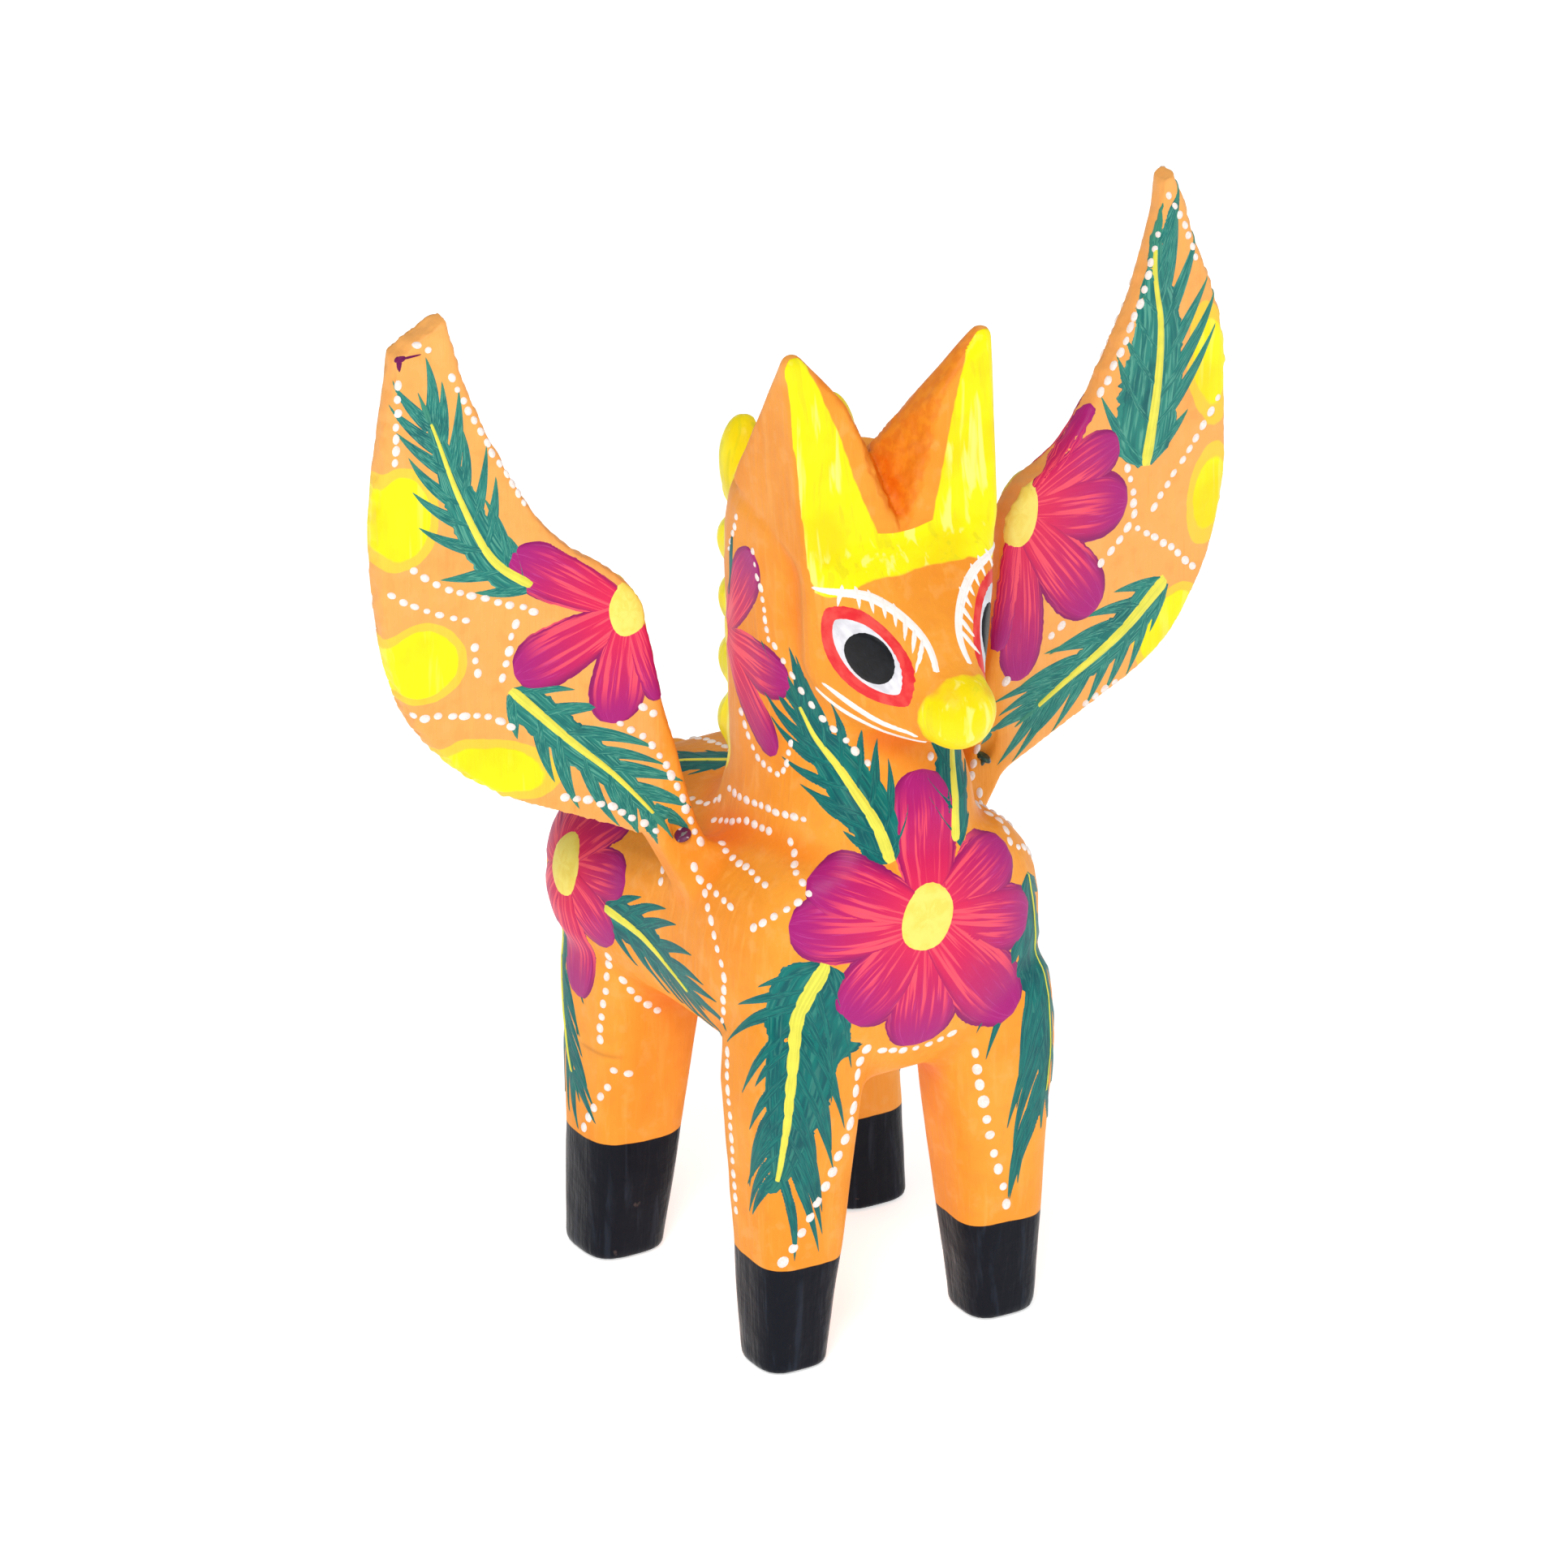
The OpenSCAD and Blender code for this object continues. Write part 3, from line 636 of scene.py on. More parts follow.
def leaf_paint(name, pale_share, main, second):
    """Green with darker clouds, and paler streaks and tips as strong as pale_share."""
    s = Shader(name, PAINT_SPECULAR)
    fan = s.stroke_place(4.0, 2.0, 30.0)
    streak = s.noise(1.7, 3, fan, 0.5)
    colour = s.mix(s.fade(streak, 0.38, 0.62), main, second)
    colour = s.over(colour, s.fade(s.noise(120, 3), 0.52, 0.75), 0.6, (0, 76, 84))
    pale = s.fade(s.noise(3.4, 3, fan, 0.4), 0.50, 0.64)
    colour = s.over(colour, pale, pale_share, (96, 172, 150))
    colour = s.over(colour, s.fade(s.attribute("along"), 0.7, 1.0), pale_share, (66, 148, 116))
    normal = s.bump(streak, 0.35, 0.0003, s.bump(s.noise(320, 3), 0.3, 0.0003))
    return s.done(colour, s.plus(0.36, s.times(streak, 0.16)), normal)


def brushed_paint(name, main, second, roughness=0.36, scale=260):
    """One colour of thick acrylic with brush streaks, thin patches and a slightly lumpy surface."""
    s = Shader(name, PAINT_SPECULAR)
    streak = s.noise(2.0, 3, s.stroke_place(3.0, 1.5, 25.0), 0.3)
    share = s.plus(s.times(streak, 0.6), s.times(s.noise(scale, 3), 0.4))
    colour = s.mix(s.fade(share, 0.42, 0.62), main, second)
    normal = s.bump(streak, 0.3, 0.0003, s.bump(s.noise(scale, 3), 0.35, 0.0003))
    return s.done(colour, s.plus(roughness, s.times(streak, 0.15)), normal)


def bare_wood():
    s = Shader("turned_dowel", 0.3)
    rings = s.noise(1, 4, s.stretched((700, 700, 40)), 0.8)
    pores = s.noise(1, 2, s.stretched((2600, 2600, 160)))
    colour = s.mix(s.fade(rings, 0.35, 0.7), (214, 178, 128), (182, 138, 88))
    colour = s.over(colour, s.fade(pores, 0.6, 0.75), 0.5, (132, 94, 56))
    return s.done(colour, s.plus(0.55, s.times(rings, 0.25)), s.bump(pores, 0.4, 0.0002))


def painted_nail(name, paint, dab):
    """A nail head that the painter has gone over, with bright metal showing where the paint is thin."""
    s = Shader(name, 0.5)
    scratches = s.noise(1, 3, s.stretched((3000, 300, 3000)))
    rust = s.fade(s.noise(700, 4), 0.62, 0.72)
    colour = s.mix(scratches, (172, 172, 176), (128, 126, 126))
    colour = s.over(colour, rust, 0.7, (112, 66, 38))
    patches = s.noise(420, 2)
    colour = s.mix(s.fade(patches, 0.40, 0.46), colour, paint)
    colour = s.mix(s.fade(patches, 0.60, 0.64), colour, dab)
    s.feed(s.surface.inputs["Metallic"], s.fade(patches, 0.46, 0.40))
    return s.done(colour, s.plus(0.32, s.times(scratches, 0.3)), s.bump(scratches, 0.3, 0.0001))


# Each paint's material and the slot that it stands for.
PAINTS = {
    "petals": (petal_paint(), "magenta_paint"),
    "leaves": (leaf_paint("leaf_paint", 0.22, (0, 88, 92), (2, 114, 108)), "green_paint"),
    # The wing leaves are paler and lighter green than the body's: partly their own streaky paint, partly
    # painted light for the brightly lit wings.
    "wing_leaves": (leaf_paint("wing_leaf_paint", 0.7, (16, 108, 104), (40, 132, 120)), "green_paint"),
}
for paint, colour, main, second, *feel in (
    ("midrib", "yellow", (238, 230, 84), (216, 214, 78)),
    ("centre", "yellow", (248, 228, 110), (244, 218, 92)),
    ("dot", "white", (248, 240, 236), (236, 222, 214), 0.4, 500),
    ("stroke", "white", (250, 246, 244), (247, 236, 228), 0.4, 420),
    ("eye_red", "red", (222, 38, 46), (232, 76, 70)),
    ("eye_white", "white", (228, 228, 234), (206, 206, 214)),
    ("pupil", "black", (8, 9, 14), (18, 20, 26), 0.3),
    ("purple_mark", "magenta", (120, 8, 84), (90, 10, 76)),
):
    PAINTS[paint + "s"] = (brushed_paint(paint + "_paint", main, second, *feel), colour + "_paint")
WOOD_PAINT = wood_paint()

# ---------------------------------------------------------------- wood pieces

CREASE_Z = 49.2
CREASE_BACK_Y = 34


def finish_object(name, mesh, material):
    mesh.materials.append(material)
    made = bpy.data.objects.new(name, mesh)
    bpy.context.scene.collection.objects.link(made)
    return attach(made, "root")


def float_attribute(mesh, name, values):
    mesh.attributes.new(name, "FLOAT", "POINT").data.foreach_set("value", np.asarray(values, np.float32))


def make_wood():
    """Cuts the skin into one shell per CAD node, with normals that run on across the painted joints."""
    owners = wood_pieces(skin.points[skin.quads].mean(1))
    yellow, hoof = paint_fields(skin.points, skin.normals)
    x, y, z = skin.points.T
    joint_line = CREASE_Z + 0.5 * lattice_noise(skin.points, 14, 41)
    rear_right = (y > 0) & (y < CREASE_BACK_Y) & (x < 0)
    broken = ramp(lattice_noise(skin.points, 9, 42), -0.15, 0.35)
    fields = {
        "yellow": yellow,
        "hoof": hoof,
        # crowd also sets the painted shade that deepens the orange in recesses.
        "crowd": skin.crowding,
        # on_wing also sets the painted light that makes the wings' orange paler.
        "on_wing": ramp(np.abs(x), *WING_START),
        "crease": (1 - ramp(np.abs(z - joint_line), 0.25, 0.8)) * rear_right * broken,
        "notch": notch_share(skin.points, skin.normals),
    }
    for node in WOOD_NODES:
        quads = skin.quads[owners == node]
        used, local = np.unique(quads, return_inverse=True)
        mesh = bpy.data.meshes.new(node + "_carving")
        mesh.from_pydata((skin.points[used] * MM).tolist(), [], local.reshape(-1, 4).tolist())
        for name, values in fields.items():
            float_attribute(mesh, name, values[used])
        corners = np.empty(len(mesh.loops), np.int32)
        mesh.loops.foreach_get("vertex_index", corners)
        mesh.polygons.foreach_set("use_smooth", np.ones(len(mesh.polygons), bool))
        mesh.normals_split_custom_set(skin.normals[used][corners].tolist())
        piece = finish_object(node + "_carving", mesh, WOOD_PAINT)
        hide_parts(node)
    coats = {
        "right_wing_nail": painted_nail("purple_nail", (96, 20, 70), (226, 214, 220)),
        "left_wing_nail": painted_nail("green_nail", (20, 58, 42), (40, 96, 70)),
    }
    for name, material in {**dict.fromkeys(DOWEL_NODES, bare_wood()), **coats}.items():
        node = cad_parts[name]
        node.data.materials.clear()
        node.data.materials.append(material)


make_wood()

# ---------------------------------------------------------------- painted decoration, as thin raised layers

STEP = 0.9
# How far the edge of paint is under the wood, and how far each kind of stroke stands proud of it.
EDGE_SINK = 0.06
BLADE_LIFT = 0.17
PETAL_LIFT = 0.20
BARB_LIFT = 0.20
STROKE_LIFT = 0.32
MIDRIB_LIFT = 0.42
CENTRE_LIFT = 0.5


def unit(v):
    return v / max(np.linalg.norm(v), 1e-9)


class Layer:
    """All the strokes of one paint on one part, gathered into one mesh."""

    def __init__(self):
        self.points, self.faces, self.along, self.across, self.tone = [], [], [], [], []

    def add(self, rows, along, across, tone, closed=False):
        """A grid of points: rows[i][j], with its paint values."""
        start, wide = len(self.points), len(rows[0])
        for i, row in enumerate(rows):
            for j, point in enumerate(row):
                self.points.append(point)
                self.along.append(along[i])
                self.across.append(across[j])
                self.tone.append(tone)
        for i in range(len(rows) - 1):
            for j in range(wide if closed else wide - 1):
                k = (j + 1) % wide
                a = start + i * wide
                self.faces.append((a + j, a + k, a + wide + k, a + wide + j))


layers = {}
chance = np.random.default_rng(7)


def layer(part, paint):
    return layers.setdefault((part, paint), Layer())


def curve_points(controls, step=STEP):
    """A smooth run of points on the skin through a few control points."""
    p = [np.array(c, float) for c in controls]
    if len(p) == 2:
        p = [p[0], (p[0] + p[1]) / 2, p[1]]
    p = [2 * p[0] - p[1]] + p + [2 * p[-1] - p[-2]]
    run = []
    for k in range(1, len(p) - 2):
        a, b, c, d = p[k - 1:k + 3]
        count = max(2, int(np.linalg.norm(c - b) / step))
        for t in np.arange(count) / count:
            run.append(0.5 * (2 * b + (c - a) * t + (2 * a - 5 * b + 4 * c - d) * t * t
                              + (3 * b - a - 3 * c + d) * t ** 3))
    run.append(p[-2])
    return [skin.snap(q) for q in run]


def walk(place, heading, length, bend=0.0, step=STEP, stay=-0.4):
    """A run of points that follows the skin from a place, turning a little at each step.

    It stops where the skin has turned away from how it faced at the start by more than stay allows.
    """
    place, normal = skin.snap(place)
    first = normal
    heading = unit(heading - normal * (heading @ normal))
    run = [(place, normal)]
    for _ in range(max(2, int(round(length / step)))):
        turned = unit(heading + bend * step / max(length, 1) * np.cross(normal, heading))
        place, normal = skin.snap(place + turned * step)
        if normal @ first < stay and len(run) > 2:
            break
        heading = unit(turned - normal * (turned @ normal))
        run.append((place, normal))
    return run


def ribbon(part, paint, run, width, lift, columns=4, dome=0.5, ragged=0.0, lean=1.0):
    """A brush stroke: a strip along a run of skin points, width(t) wide each side, thicker in its middle.

    The left-hand side is lean times as wide as the right.
    """
    tone = chance.random()
    count = len(run)
    across = np.linspace(-1, 1, columns + 1)
    rows, along = [], []
    for i, (place, normal) in enumerate(run):
        before, after = run[max(0, i - 1)][0], run[min(count - 1, i + 1)][0]
        side = unit(np.cross(normal, after - before))
        t = i / (count - 1)
        half = width(t)
        row = []
        for j, u in enumerate(across):
            rough = 1 + ragged * (chance.random() - 0.5) if j in (0, columns) else 1
            spot, up = skin.snap(place + side * (half * u * rough * (lean if u > 0 else 1)))
            edge = j in (0, columns) or i in (0, count - 1)
            row.append(spot + up * (-EDGE_SINK if edge else lift * (1 - dome * u * u)))
        rows.append(row)
        along.append(t)
    layer(part, paint).add(rows, along, across, tone)


def patch(part, paint, centre, long_way, outline, lift, rings=6, dome=0.35):
    """A filled shape: an outline of (long, short) offsets round a centre, laid on the skin."""
    place, normal = skin.snap(centre)
    u = unit(np.array(long_way, float) - normal * (np.array(long_way, float) @ normal))
    v = np.cross(normal, u)
    rows = []
    for k in range(rings + 1):
        share = k / rings
        row = []
        for a, b in outline:
            spot, up = skin.snap(place + (u * a + v * b) * share)
            row.append(spot + up * (-EDGE_SINK if k == rings else lift * (1 - dome * share * share)))
        rows.append(row)
    across = np.abs(np.linspace(-1, 1, len(outline)))
    layer(part, paint).add(rows, np.linspace(0, 1, rings + 1), across, chance.random(), closed=True)


def whole_turn(count):
    return np.linspace(0, 2 * math.pi, count, endpoint=False)


def oval(a, b, wobble=0.04):
    """An uneven oval's outline from its two half sizes."""
    shape = []
    for t in whole_turn(26):
        long, short = 1 + wobble * math.sin(3 * t + a), 1 + wobble * math.cos(2 * t + b)
        shape.append((a * math.cos(t) * long, b * math.sin(t) * short))
    return shape


def almond(a, b):
    """An eye's outline, pointed at both ends of its long way."""
    return [(a * math.cos(t), b * math.sin(t) * abs(math.sin(t)) ** 0.35) for t in whole_turn(36)]


def dot(part, place, heading, radius):
    """A raised drop of white paint, a little longer along its trail."""
    place, normal = skin.snap(place)
    u = unit(heading - normal * (heading @ normal))
    v = np.cross(normal, u)
    long = radius * (1.0 + 0.35 * chance.random())
    wide = radius * (0.82 + 0.2 * chance.random())
    turn = chance.random() * 0.6
    rows = []
    for share, height in ((0.0, 0.42), (0.45, 0.38), (0.8, 0.22), (1.0, -0.1)):
        row = []
        for t in whole_turn(12):
            out = u * (long * math.cos(t + turn)) + v * (wide * math.sin(t + turn))
            spot, up = skin.snap(place + out * share)
            row.append(spot + up * height)
        rows.append(row)
    layer(part, "dots").add(rows, (0, 0.4, 0.8, 1), np.linspace(0, 1, 12), chance.random(), closed=True)


def trail(part, controls, gap=2.7, radius=0.98):
    """White dots at even steps along a run on the skin."""
    run = curve_points(controls, 0.45)
    travelled, due = 0.0, 0.0
    for k in range(len(run)):
        if k:
            travelled += np.linalg.norm(run[k][0] - run[k - 1][0])
        if travelled >= due:
            ahead = run[min(k + 1, len(run) - 1)][0] - run[max(k - 1, 0)][0]
            aside = np.cross(run[k][1], unit(ahead)) * (chance.random() - 0.5) * 0.5
            dot(part, run[k][0] + aside, ahead, radius * (0.8 + 0.38 * chance.random()))
            due = travelled + gap * (0.9 + 0.25 * chance.random())


def petal_width(half):
    """Narrow at the flower's centre, widest at two thirds, and round at the tip."""
    def width(t):
        if t < 0.70:
            return half * (0.45 + 0.55 * math.sin(t / 0.70 * math.pi / 2) ** 1.2)
        return half * math.sqrt(max(0.0, 1 - ((t - 0.70) / 0.30) ** 2.2)) + 0.02
    return width


def petal(part, centre, tip, half, lift, bend):
    centre, tip = np.array(centre, float), np.array(tip, float)
    run = walk(centre, tip - centre, np.linalg.norm(tip - centre) * 1.03, bend)
    ribbon(part, "petals", run, petal_width(half), lift, columns=8, dome=0.35, ragged=0.05)


def flower(part, places, halves, middle):
    """Petals from the first place to each of the others, a little over one another, and an oval centre."""
    centre, *tips = places
    for k, (tip, half) in enumerate(zip(tips, halves)):
        petal(part, centre, tip, half, PETAL_LIFT + 0.035 * (k % 4), 0.25 * (chance.random() - 0.5))
    patch(part, "centres", centre, (0, 0, 1), oval(*middle), CENTRE_LIFT)


def leaf(part, spine, half, left=7, right=7, solid=0.38, lean=1.0, midrib=1.25, rib_end=0.86,
         sweep=(54, 24)):
    """A feather leaf: a blade along a spine, long pointed barbs that sweep to the tip, and a midrib.

    The barbs reach half out to each side, lean times as far on the left, and the blade fills the solid
    share of that. sweep is the barbs' angle in degrees to the spine at its foot and at its tip.
    """
    run = curve_points(spine)
    count = len(run)
    length = sum(np.linalg.norm(run[k + 1][0] - run[k][0]) for k in range(count - 1))

    def spread(t):
        return min(1, 0.55 + t / 0.22) * (1 - 0.72 * max(0, (t - 0.35) / 0.65) ** 1.5)

    def blade(t):
        return half * solid * spread(t) * math.sqrt(min(1, 0.06 + t / 0.06)) * (1 - t ** 4) + 0.1

    paint = "wing_leaves" if part in ("left_wing", "right_wing") else "leaves"
    ribbon(part, paint, run, blade, BLADE_LIFT, columns=6, ragged=0.2, lean=lean)
    for side, barbs in ((1, left), (-1, right)):
        for k in range(barbs):
            t = 0.02 + 0.92 * (k + 0.3 * chance.random()) / barbs
            i = min(count - 2, int(t * (count - 1)))
            place, normal = run[i]
            ahead = unit(run[i + 1][0] - place)
            aside = np.cross(normal, ahead) * side
            angle = math.radians(sweep[0] + (sweep[1] - sweep[0]) * t + 8 * (chance.random() - 0.5))
            heading = ahead * math.cos(angle) + aside * math.sin(angle)
            reach = half * (lean if side > 0 else 1) * spread(t)
            size = min(reach * (0.95 + 0.35 * chance.random()) / math.sin(angle), length * 0.5)
            wide = min(half * (0.17 + 0.05 * chance.random()), 0.40 * length / barbs)
            barb = walk(place, heading, size, bend=-side * (0.25 + 0.3 * chance.random()), stay=0.35)
            ribbon(part, paint, barb, lambda u, w=wide: w * (1 - u ** 1.6) + 0.05,
                   BARB_LIFT + 0.02 * (k % 3), columns=2)
    rib = run[:max(3, int(count * rib_end))]
    ribbon(part, "midribs", rib, lambda u: midrib * (1 - 0.72 * u) * min(1, 0.6 + u * 8), MIDRIB_LIFT)


def brush(part, paint, controls, wide, lift=STROKE_LIFT, thin_start=0.25, thin_end=0.2):
    """A single free stroke that swells in its middle."""
    def width(t):
        swell = math.sin(math.pi * min(1, max(0, t)) ** 0.8)
        ends = thin_start * (1 - t) + thin_end * t
        return wide * (ends + (1 - ends) * swell)
    ribbon(part, paint, curve_points(controls, 0.6), width, lift, columns=2)


WING_ROOT_X = 31.5
WING_FACE_Y = -12.5
WING_SLOPE = 0.176
WING_DEPTH = 14


def on_wing(points, back=False, flip=1):
    """Places across and up a wing as points at its front or back face. A flip of -1 changes wings."""
    shift = WING_DEPTH if back else 0
    return [(flip * x, WING_FACE_Y + WING_SLOPE * (abs(x) - WING_ROOT_X) + shift, z) for x, z in points]


def mirrored(points, flip):
    """Points of the figure's right side as they are, with flip 1, or mirrored to its left, with -1."""
    return [(flip * x, y, z) for x, y, z in points]


def paint_right_wing(part="right_wing", back=False, flip=1):
    def at(points):
        return on_wing(points, back, flip)
    flower(part, at([(-49, 171), (-74, 188), (-73, 159), (-53, 146), (-42, 149)]),
           (6.6, 7.6, 6.8, 4.4), (6.8, 5.0))
    leaf(part, at([(-70, 180), (-79, 188), (-86, 203), (-91, 218), (-95, 229)]), 11.5, 8, 8, midrib=1.45)
    leaf(part, at([(-75, 157), (-62, 143), (-52, 133), (-43, 122), (-39, 116)]), 12, midrib=1.6)
    for run in (
        [(-99, 231), (-100, 213)], [(-95, 240), (-91, 237)], [(-87.5, 231), (-80, 215), (-70.5, 198)],
        [(-96, 188), (-88, 182), (-78, 178), (-69, 174)], [(-101, 183), (-95, 179), (-83, 174)],
        [(-74, 172), (-77, 158)], [(-83, 168), (-82, 162)], [(-97, 154), (-82, 152), (-74, 148)],
        [(-46, 148), (-42, 145)], [(-51, 145), (-45, 140), (-39, 130), (-36, 121), (-33, 114)],
        [(-63, 130), (-53, 126), (-42, 118)],
    ):
        trail(part, at(run))


def paint_left_wing(part="left_wing", back=False, flip=1):
    def at(points):
        return on_wing(points, back, flip)
    flower(part, at([(46, 171), (69, 187), (73, 180), (75, 163), (67, 142), (48, 133), (40, 141)]),
           (4.8, 6.8, 8.4, 7.8, 7.0, 4.8), (9.0, 6.2))
    leaf(part, at([(81, 171), (84, 188), (85, 203), (83.5, 216), (84.5, 231)]), 15.5, 7, 8,
         solid=0.48, lean=1.6, midrib=2.1)
    leaf(part, at([(87, 143), (74, 134), (58, 127), (45, 121)]), 12.5, 8, 8, solid=0.42, midrib=2.4)
    for run in (
        [(84, 224), (80, 211), (73, 198), (68, 191)], [(87, 232), (92, 223), (95.5, 214)],
        [(101, 181), (94, 172), (88, 166), (82, 159)], [(76, 172), (78, 164), (77, 159), (69, 152)],
        [(79, 157), (87, 151), (95, 143)], [(58, 141), (55, 139)], [(43, 132.5), (41, 131)],
        [(35, 119), (33, 113)], [(73, 123), (63, 120)],
    ):
        trail(part, at(run))


def paint_wings():
    """Each wing's front as it is seen, and on its back what the other wing has in front."""
    paint_right_wing()
    paint_left_wing()
    paint_left_wing("right_wing", True, -1)
    paint_right_wing("left_wing", True, -1)
    patch("right_wing", "purple_marks", on_wing([(-99, 237)])[0], (1, 0, 0.1), oval(1.6, 0.9), 0.3, 3)
    brush("right_wing", "purple_marks", on_wing([(-99, 237), (-94, 237.5)]), 0.35)
    brush("right_wing", "purple_marks", on_wing([(-99, 238), (-99, 234)]), 0.8)
    patch("left_wing", "wing_leaves", (38, -11, 120), (1, 0, 0.4), oval(2.0, 1.3), 0.4, 3)


def paint_chest():
    flower("torso",
           [(0, -49, 104), (2, -41, 134), (22, -44, 115), (27, -45, 96), (21, -46, 74), (-1, -46, 74),
            (-18, -47, 84), (-30, -42, 105), (-22, -36, 117)],
           (9.0, 8.6, 8.4, 9.4, 9.6, 9.4, 8.6, 8.4), (8.6, 7.3))
    trail("torso", [(-9, -46, 74), (0, -46, 72), (10, -46, 74)])


def paint_side(flip):
    """The flank and haunch of one side: flip is 1 for the figure's right and -1 for its left."""
    flower("torso", mirrored([(-39, 33, 92), (-36, 14, 96), (-37, 19, 78), (-37, 31, 60), (-33, 46, 74),
                              (-28, 53, 94), (-33, 40, 110), (-36, 24, 111)], flip),
           (6.8,) * 7, (8.4, 5.6))
    leaf("torso", mirrored([(-38, 20, 87), (-36, 8, 85), (-36, -5, 81), (-35, -17, 77)], flip), 14,
         midrib=1.6)
    for run in (
        [(-20, 15, 111), (-21, 1, 116)], [(-21, -3, 120), (-22, -22, 123), (-20, -33, 125)],
        [(-22, 0, 111), (-23, -13, 117), (-22, -25, 119)],
        [(-22, -30, 119), (-25, -37, 116), (-24, -43, 112)],
        [(-27, -42, 111), (-31, -39, 108), (-34, -35, 104)],
        [(-28, -12, 111), (-29, -24, 112), (-30, -34, 112)],
        [(-33, -13, 106), (-34, -28, 105)],
        [(-35, -12, 109), (-36, -22, 99), (-36, -27, 90), (-35, -25, 78)],
        [(-36, 22, 74), (-36, 25, 57), (-36, 25, 51)],
        [(-33, 21, 68), (-26, 20, 60), (-24, 8, 58), (-27, -12, 60), (-31, -25, 66)],
        [(-38, 8, 112), (-36, 4, 104), (-35, 2, 98)],
    ):
        trail("torso", mirrored(run, flip))


def paint_body():
    paint_chest()
    paint_side(1)
    paint_side(-1)
    for flip in (1, -1):
        leaf("torso", mirrored([(-3, 26, 111), (-11, 33, 110), (-22, 42, 104)], flip), 12, 6, 6,
             solid=0.5, midrib=1.0)
    trail("torso", [(0, 22, 111), (0, 48, 106)])
    for flip in (1, -1):
        trail("torso", mirrored([(-8, 54, 100), (-14, 56, 84), (-12, 54, 68)], flip))
    leaf("tail", [(0, 66, 98), (0, 69, 84), (0, 69, 68), (0, 68, 56)], 6.5, 6, 6)


def paint_legs():
    part = "front_right_leg"
    leaf(part, [(-23, -47, 98), (-28, -44, 86), (-31, -46, 72), (-32, -45, 59), (-33, -43, 47),
                (-34, -40, 45)], 15.5, 11, 11, solid=0.64, lean=1.6, midrib=2.3, rib_end=0.92)
    trail(part, [(-13, -47, 75), (-16, -46, 59), (-22, -45, 45), (-32, -43, 27)], gap=3.2, radius=1.2)
    trail(part, [(-37, -29, 73), (-36, -30, 54), (-35, -30, 35)])
    part = "front_left_leg"
    leaf(part, [(30, -46, 106), (32, -45, 90), (32.5, -45, 72), (32, -44.5, 56), (31.5, -44.5, 44)],
         22, 6, 10, midrib=0.1, lean=0.35, sweep=(46, 22))
    trail(part, [(14, -46, 67), (18, -45, 48), (24, -44, 25)], gap=4.0, radius=1.2)
    leaf("rear_right_leg", [(-36, 42, 78), (-36, 42, 62), (-36, 38, 46), (-37, 32, 35)], 10.5, 8, 8)
    leaf("rear_left_leg", [(36, 38, 78), (36, 38, 62), (36, 34, 46), (37, 28, 33)], 10.5, 8, 8)
    trail("rear_right_leg", [(-35, 24, 42), (-36, 27, 36), (-36, 31, 29)], gap=3.0)
    trail("rear_right_leg", [(-35, 22, 46), (-30, 21, 45)], gap=3.0)
    trail("rear_left_leg", [(35, 20, 46), (36, 24, 36), (36, 28, 27)], gap=3.0)


EYE_CENTRES = {1: (-14, -49, 168.3), -1: (-13.2, -50.5, 168.6)}
BROW = [(-22, -39, 182), (-18, -43, 181.5), (-12, -47, 180), (-7, -51, 176), (-4, -55, 171), (-3.5, -59, 165)]
BROW_HAIRS = (
    [(-17, -43, 183), (-17.5, -43, 178.5)], [(-15, -45, 183), (-14.5, -46, 178)],
    [(-12.5, -46, 182), (-12.5, -48, 177)], [(-10, -48, 180.5), (-10.5, -49, 175.5)],
    [(-8, -49, 179), (-9, -51, 174)], [(-6.5, -51, 176.5), (-8, -53, 171.5)],
    [(-5.5, -53, 174), (-7, -54.5, 169)], [(-4.5, -54, 171.5), (-6.5, -56, 165.5)],
)
CHEEK_LINES = (
    ([(-18, -38, 159.5), (-13.5, -43, 155.5), (-8.5, -48, 153), (-4, -55, 152.5)], 1.25),
    ([(-18, -35, 157), (-14, -40, 152.5), (-8.5, -47, 149.8), (-3, -55, 149.8)], 1.1),
)
# Runs of dots on the neck, each with its gap and the radius of its dots.
NECK_TRAILS = (
    ([(-23, -9, 186), (-21.5, -4, 175)], 2.3, 0.8),
    ([(-22, -16, 181), (-22, -19, 170), (-21.5, -20, 161)], 2.3, 0.8),
    ([(-21, -22, 161), (-16, -32, 149), (-7, -40, 136)], 3.3, 0.95),
    ([(-21, -8, 140), (-21, -14, 133), (-21, -24, 132), (-20.5, -27, 140)], 2.3, 0.8),
)


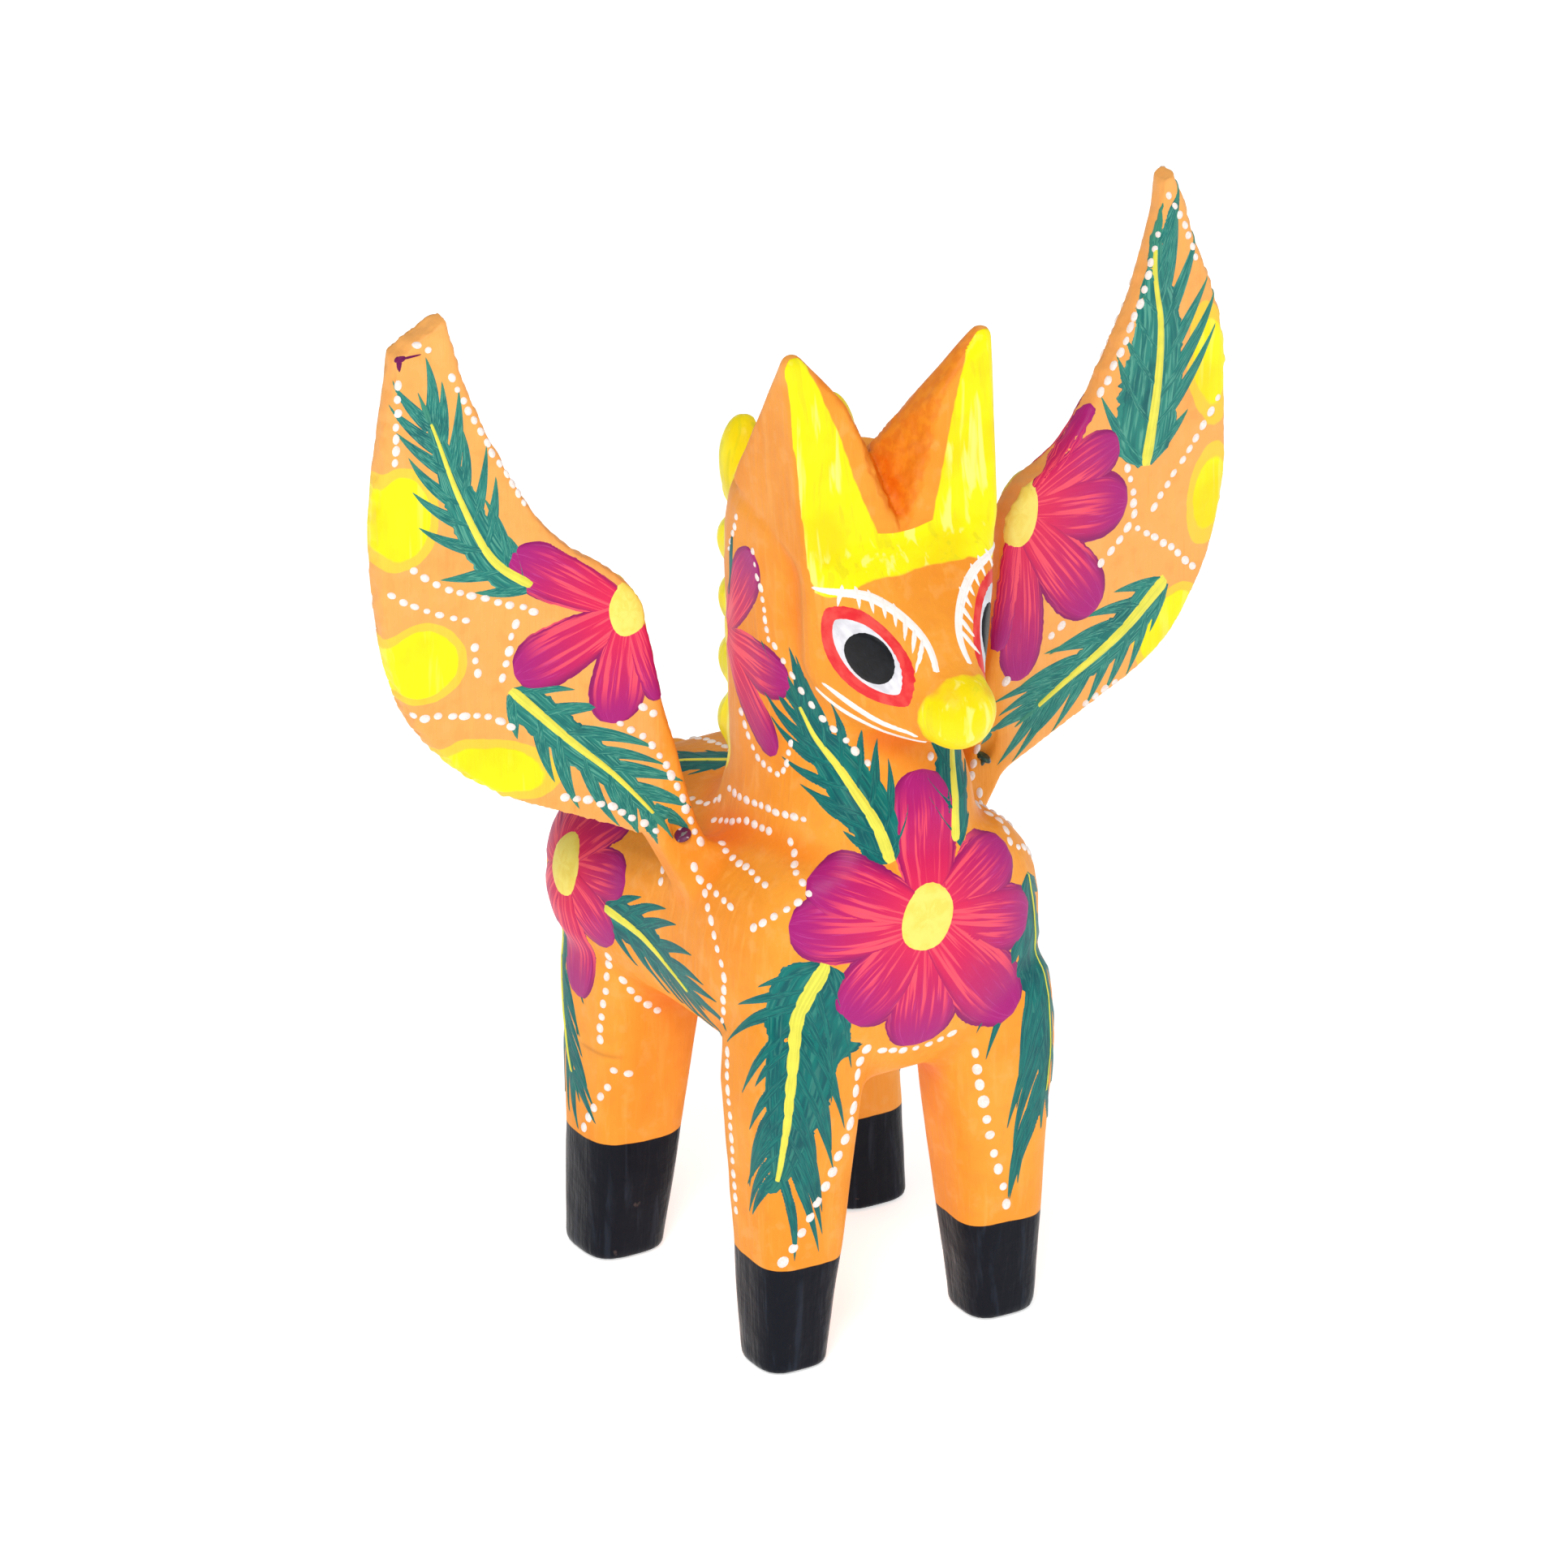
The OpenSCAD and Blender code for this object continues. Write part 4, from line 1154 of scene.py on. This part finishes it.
def paint_eye(flip):
    """One eye and its brow: flip is 1 for the figure's right and -1 for its left."""
    part, long_way = "head_and_neck", (flip * 12, -15, -19)
    centre = mirrored([EYE_CENTRES[flip]], flip)[0]
    pupil = centre + np.array((flip * 0.4, -0.3, -0.3))
    patch(part, "eye_reds", centre, long_way, almond(13.8, 9.9), 0.25, 8)
    patch(part, "eye_whites", centre, long_way, almond(11.4, 6.9), 0.42, 7)
    patch(part, "pupils", pupil, long_way, oval(7.2, 6.3, wobble=0.01), 0.62, 6)
    brush(part, "strokes", mirrored(BROW, flip), 1.25, thin_end=0.6)
    for k, hair in enumerate(BROW_HAIRS):
        brush(part, "strokes", mirrored(hair, flip), 0.62, lift=0.36 + 0.01 * k)


def paint_head():
    part = "head_and_neck"
    for flip in (1, -1):
        paint_eye(flip)
        for line, wide in CHEEK_LINES:
            brush(part, "strokes", mirrored(line, flip), wide, thin_end=0.6)
        flower(part, mirrored([(-20.5, 2, 155), (-23, -18, 178), (-21, -25, 153), (-21, -22, 137)], flip),
               (6.0, 6.6, 5.2), (3.4, 2.6))
        brush(part, "leaves", mirrored([(-21, -7, 181), (-21, -5, 173.5), (-21, -3, 165)], flip), 1.5,
              thin_start=0.05)
        for run, gap, radius in NECK_TRAILS:
            trail(part, mirrored(run, flip), gap, radius)
    leaf(part, [(-7, -46, 117), (-9, -44, 125), (-13, -38, 135), (-17, -31, 144), (-20, -25, 156)],
         11, 8, 8, solid=0.6, midrib=1.9)
    leaf(part, [(9, -46, 118), (10, -43, 126), (13, -38, 135), (17, -31, 144), (20, -25, 156)],
         9, solid=0.6, midrib=1.7)


def make_paint():
    for (part, paint), gathered in sorted(layers.items()):
        mesh = bpy.data.meshes.new(part + "_" + paint)
        mesh.from_pydata((np.array(gathered.points) * MM).tolist(), [], gathered.faces)
        for name in ("along", "across", "tone"):
            float_attribute(mesh, name, getattr(gathered, name))
        mesh.polygons.foreach_set("use_smooth", np.ones(len(mesh.polygons), bool))
        material, slot_name = PAINTS[paint]
        finish_object(part + "_" + paint, mesh, material)


paint_wings()
paint_body()
paint_legs()
paint_head()
make_paint()
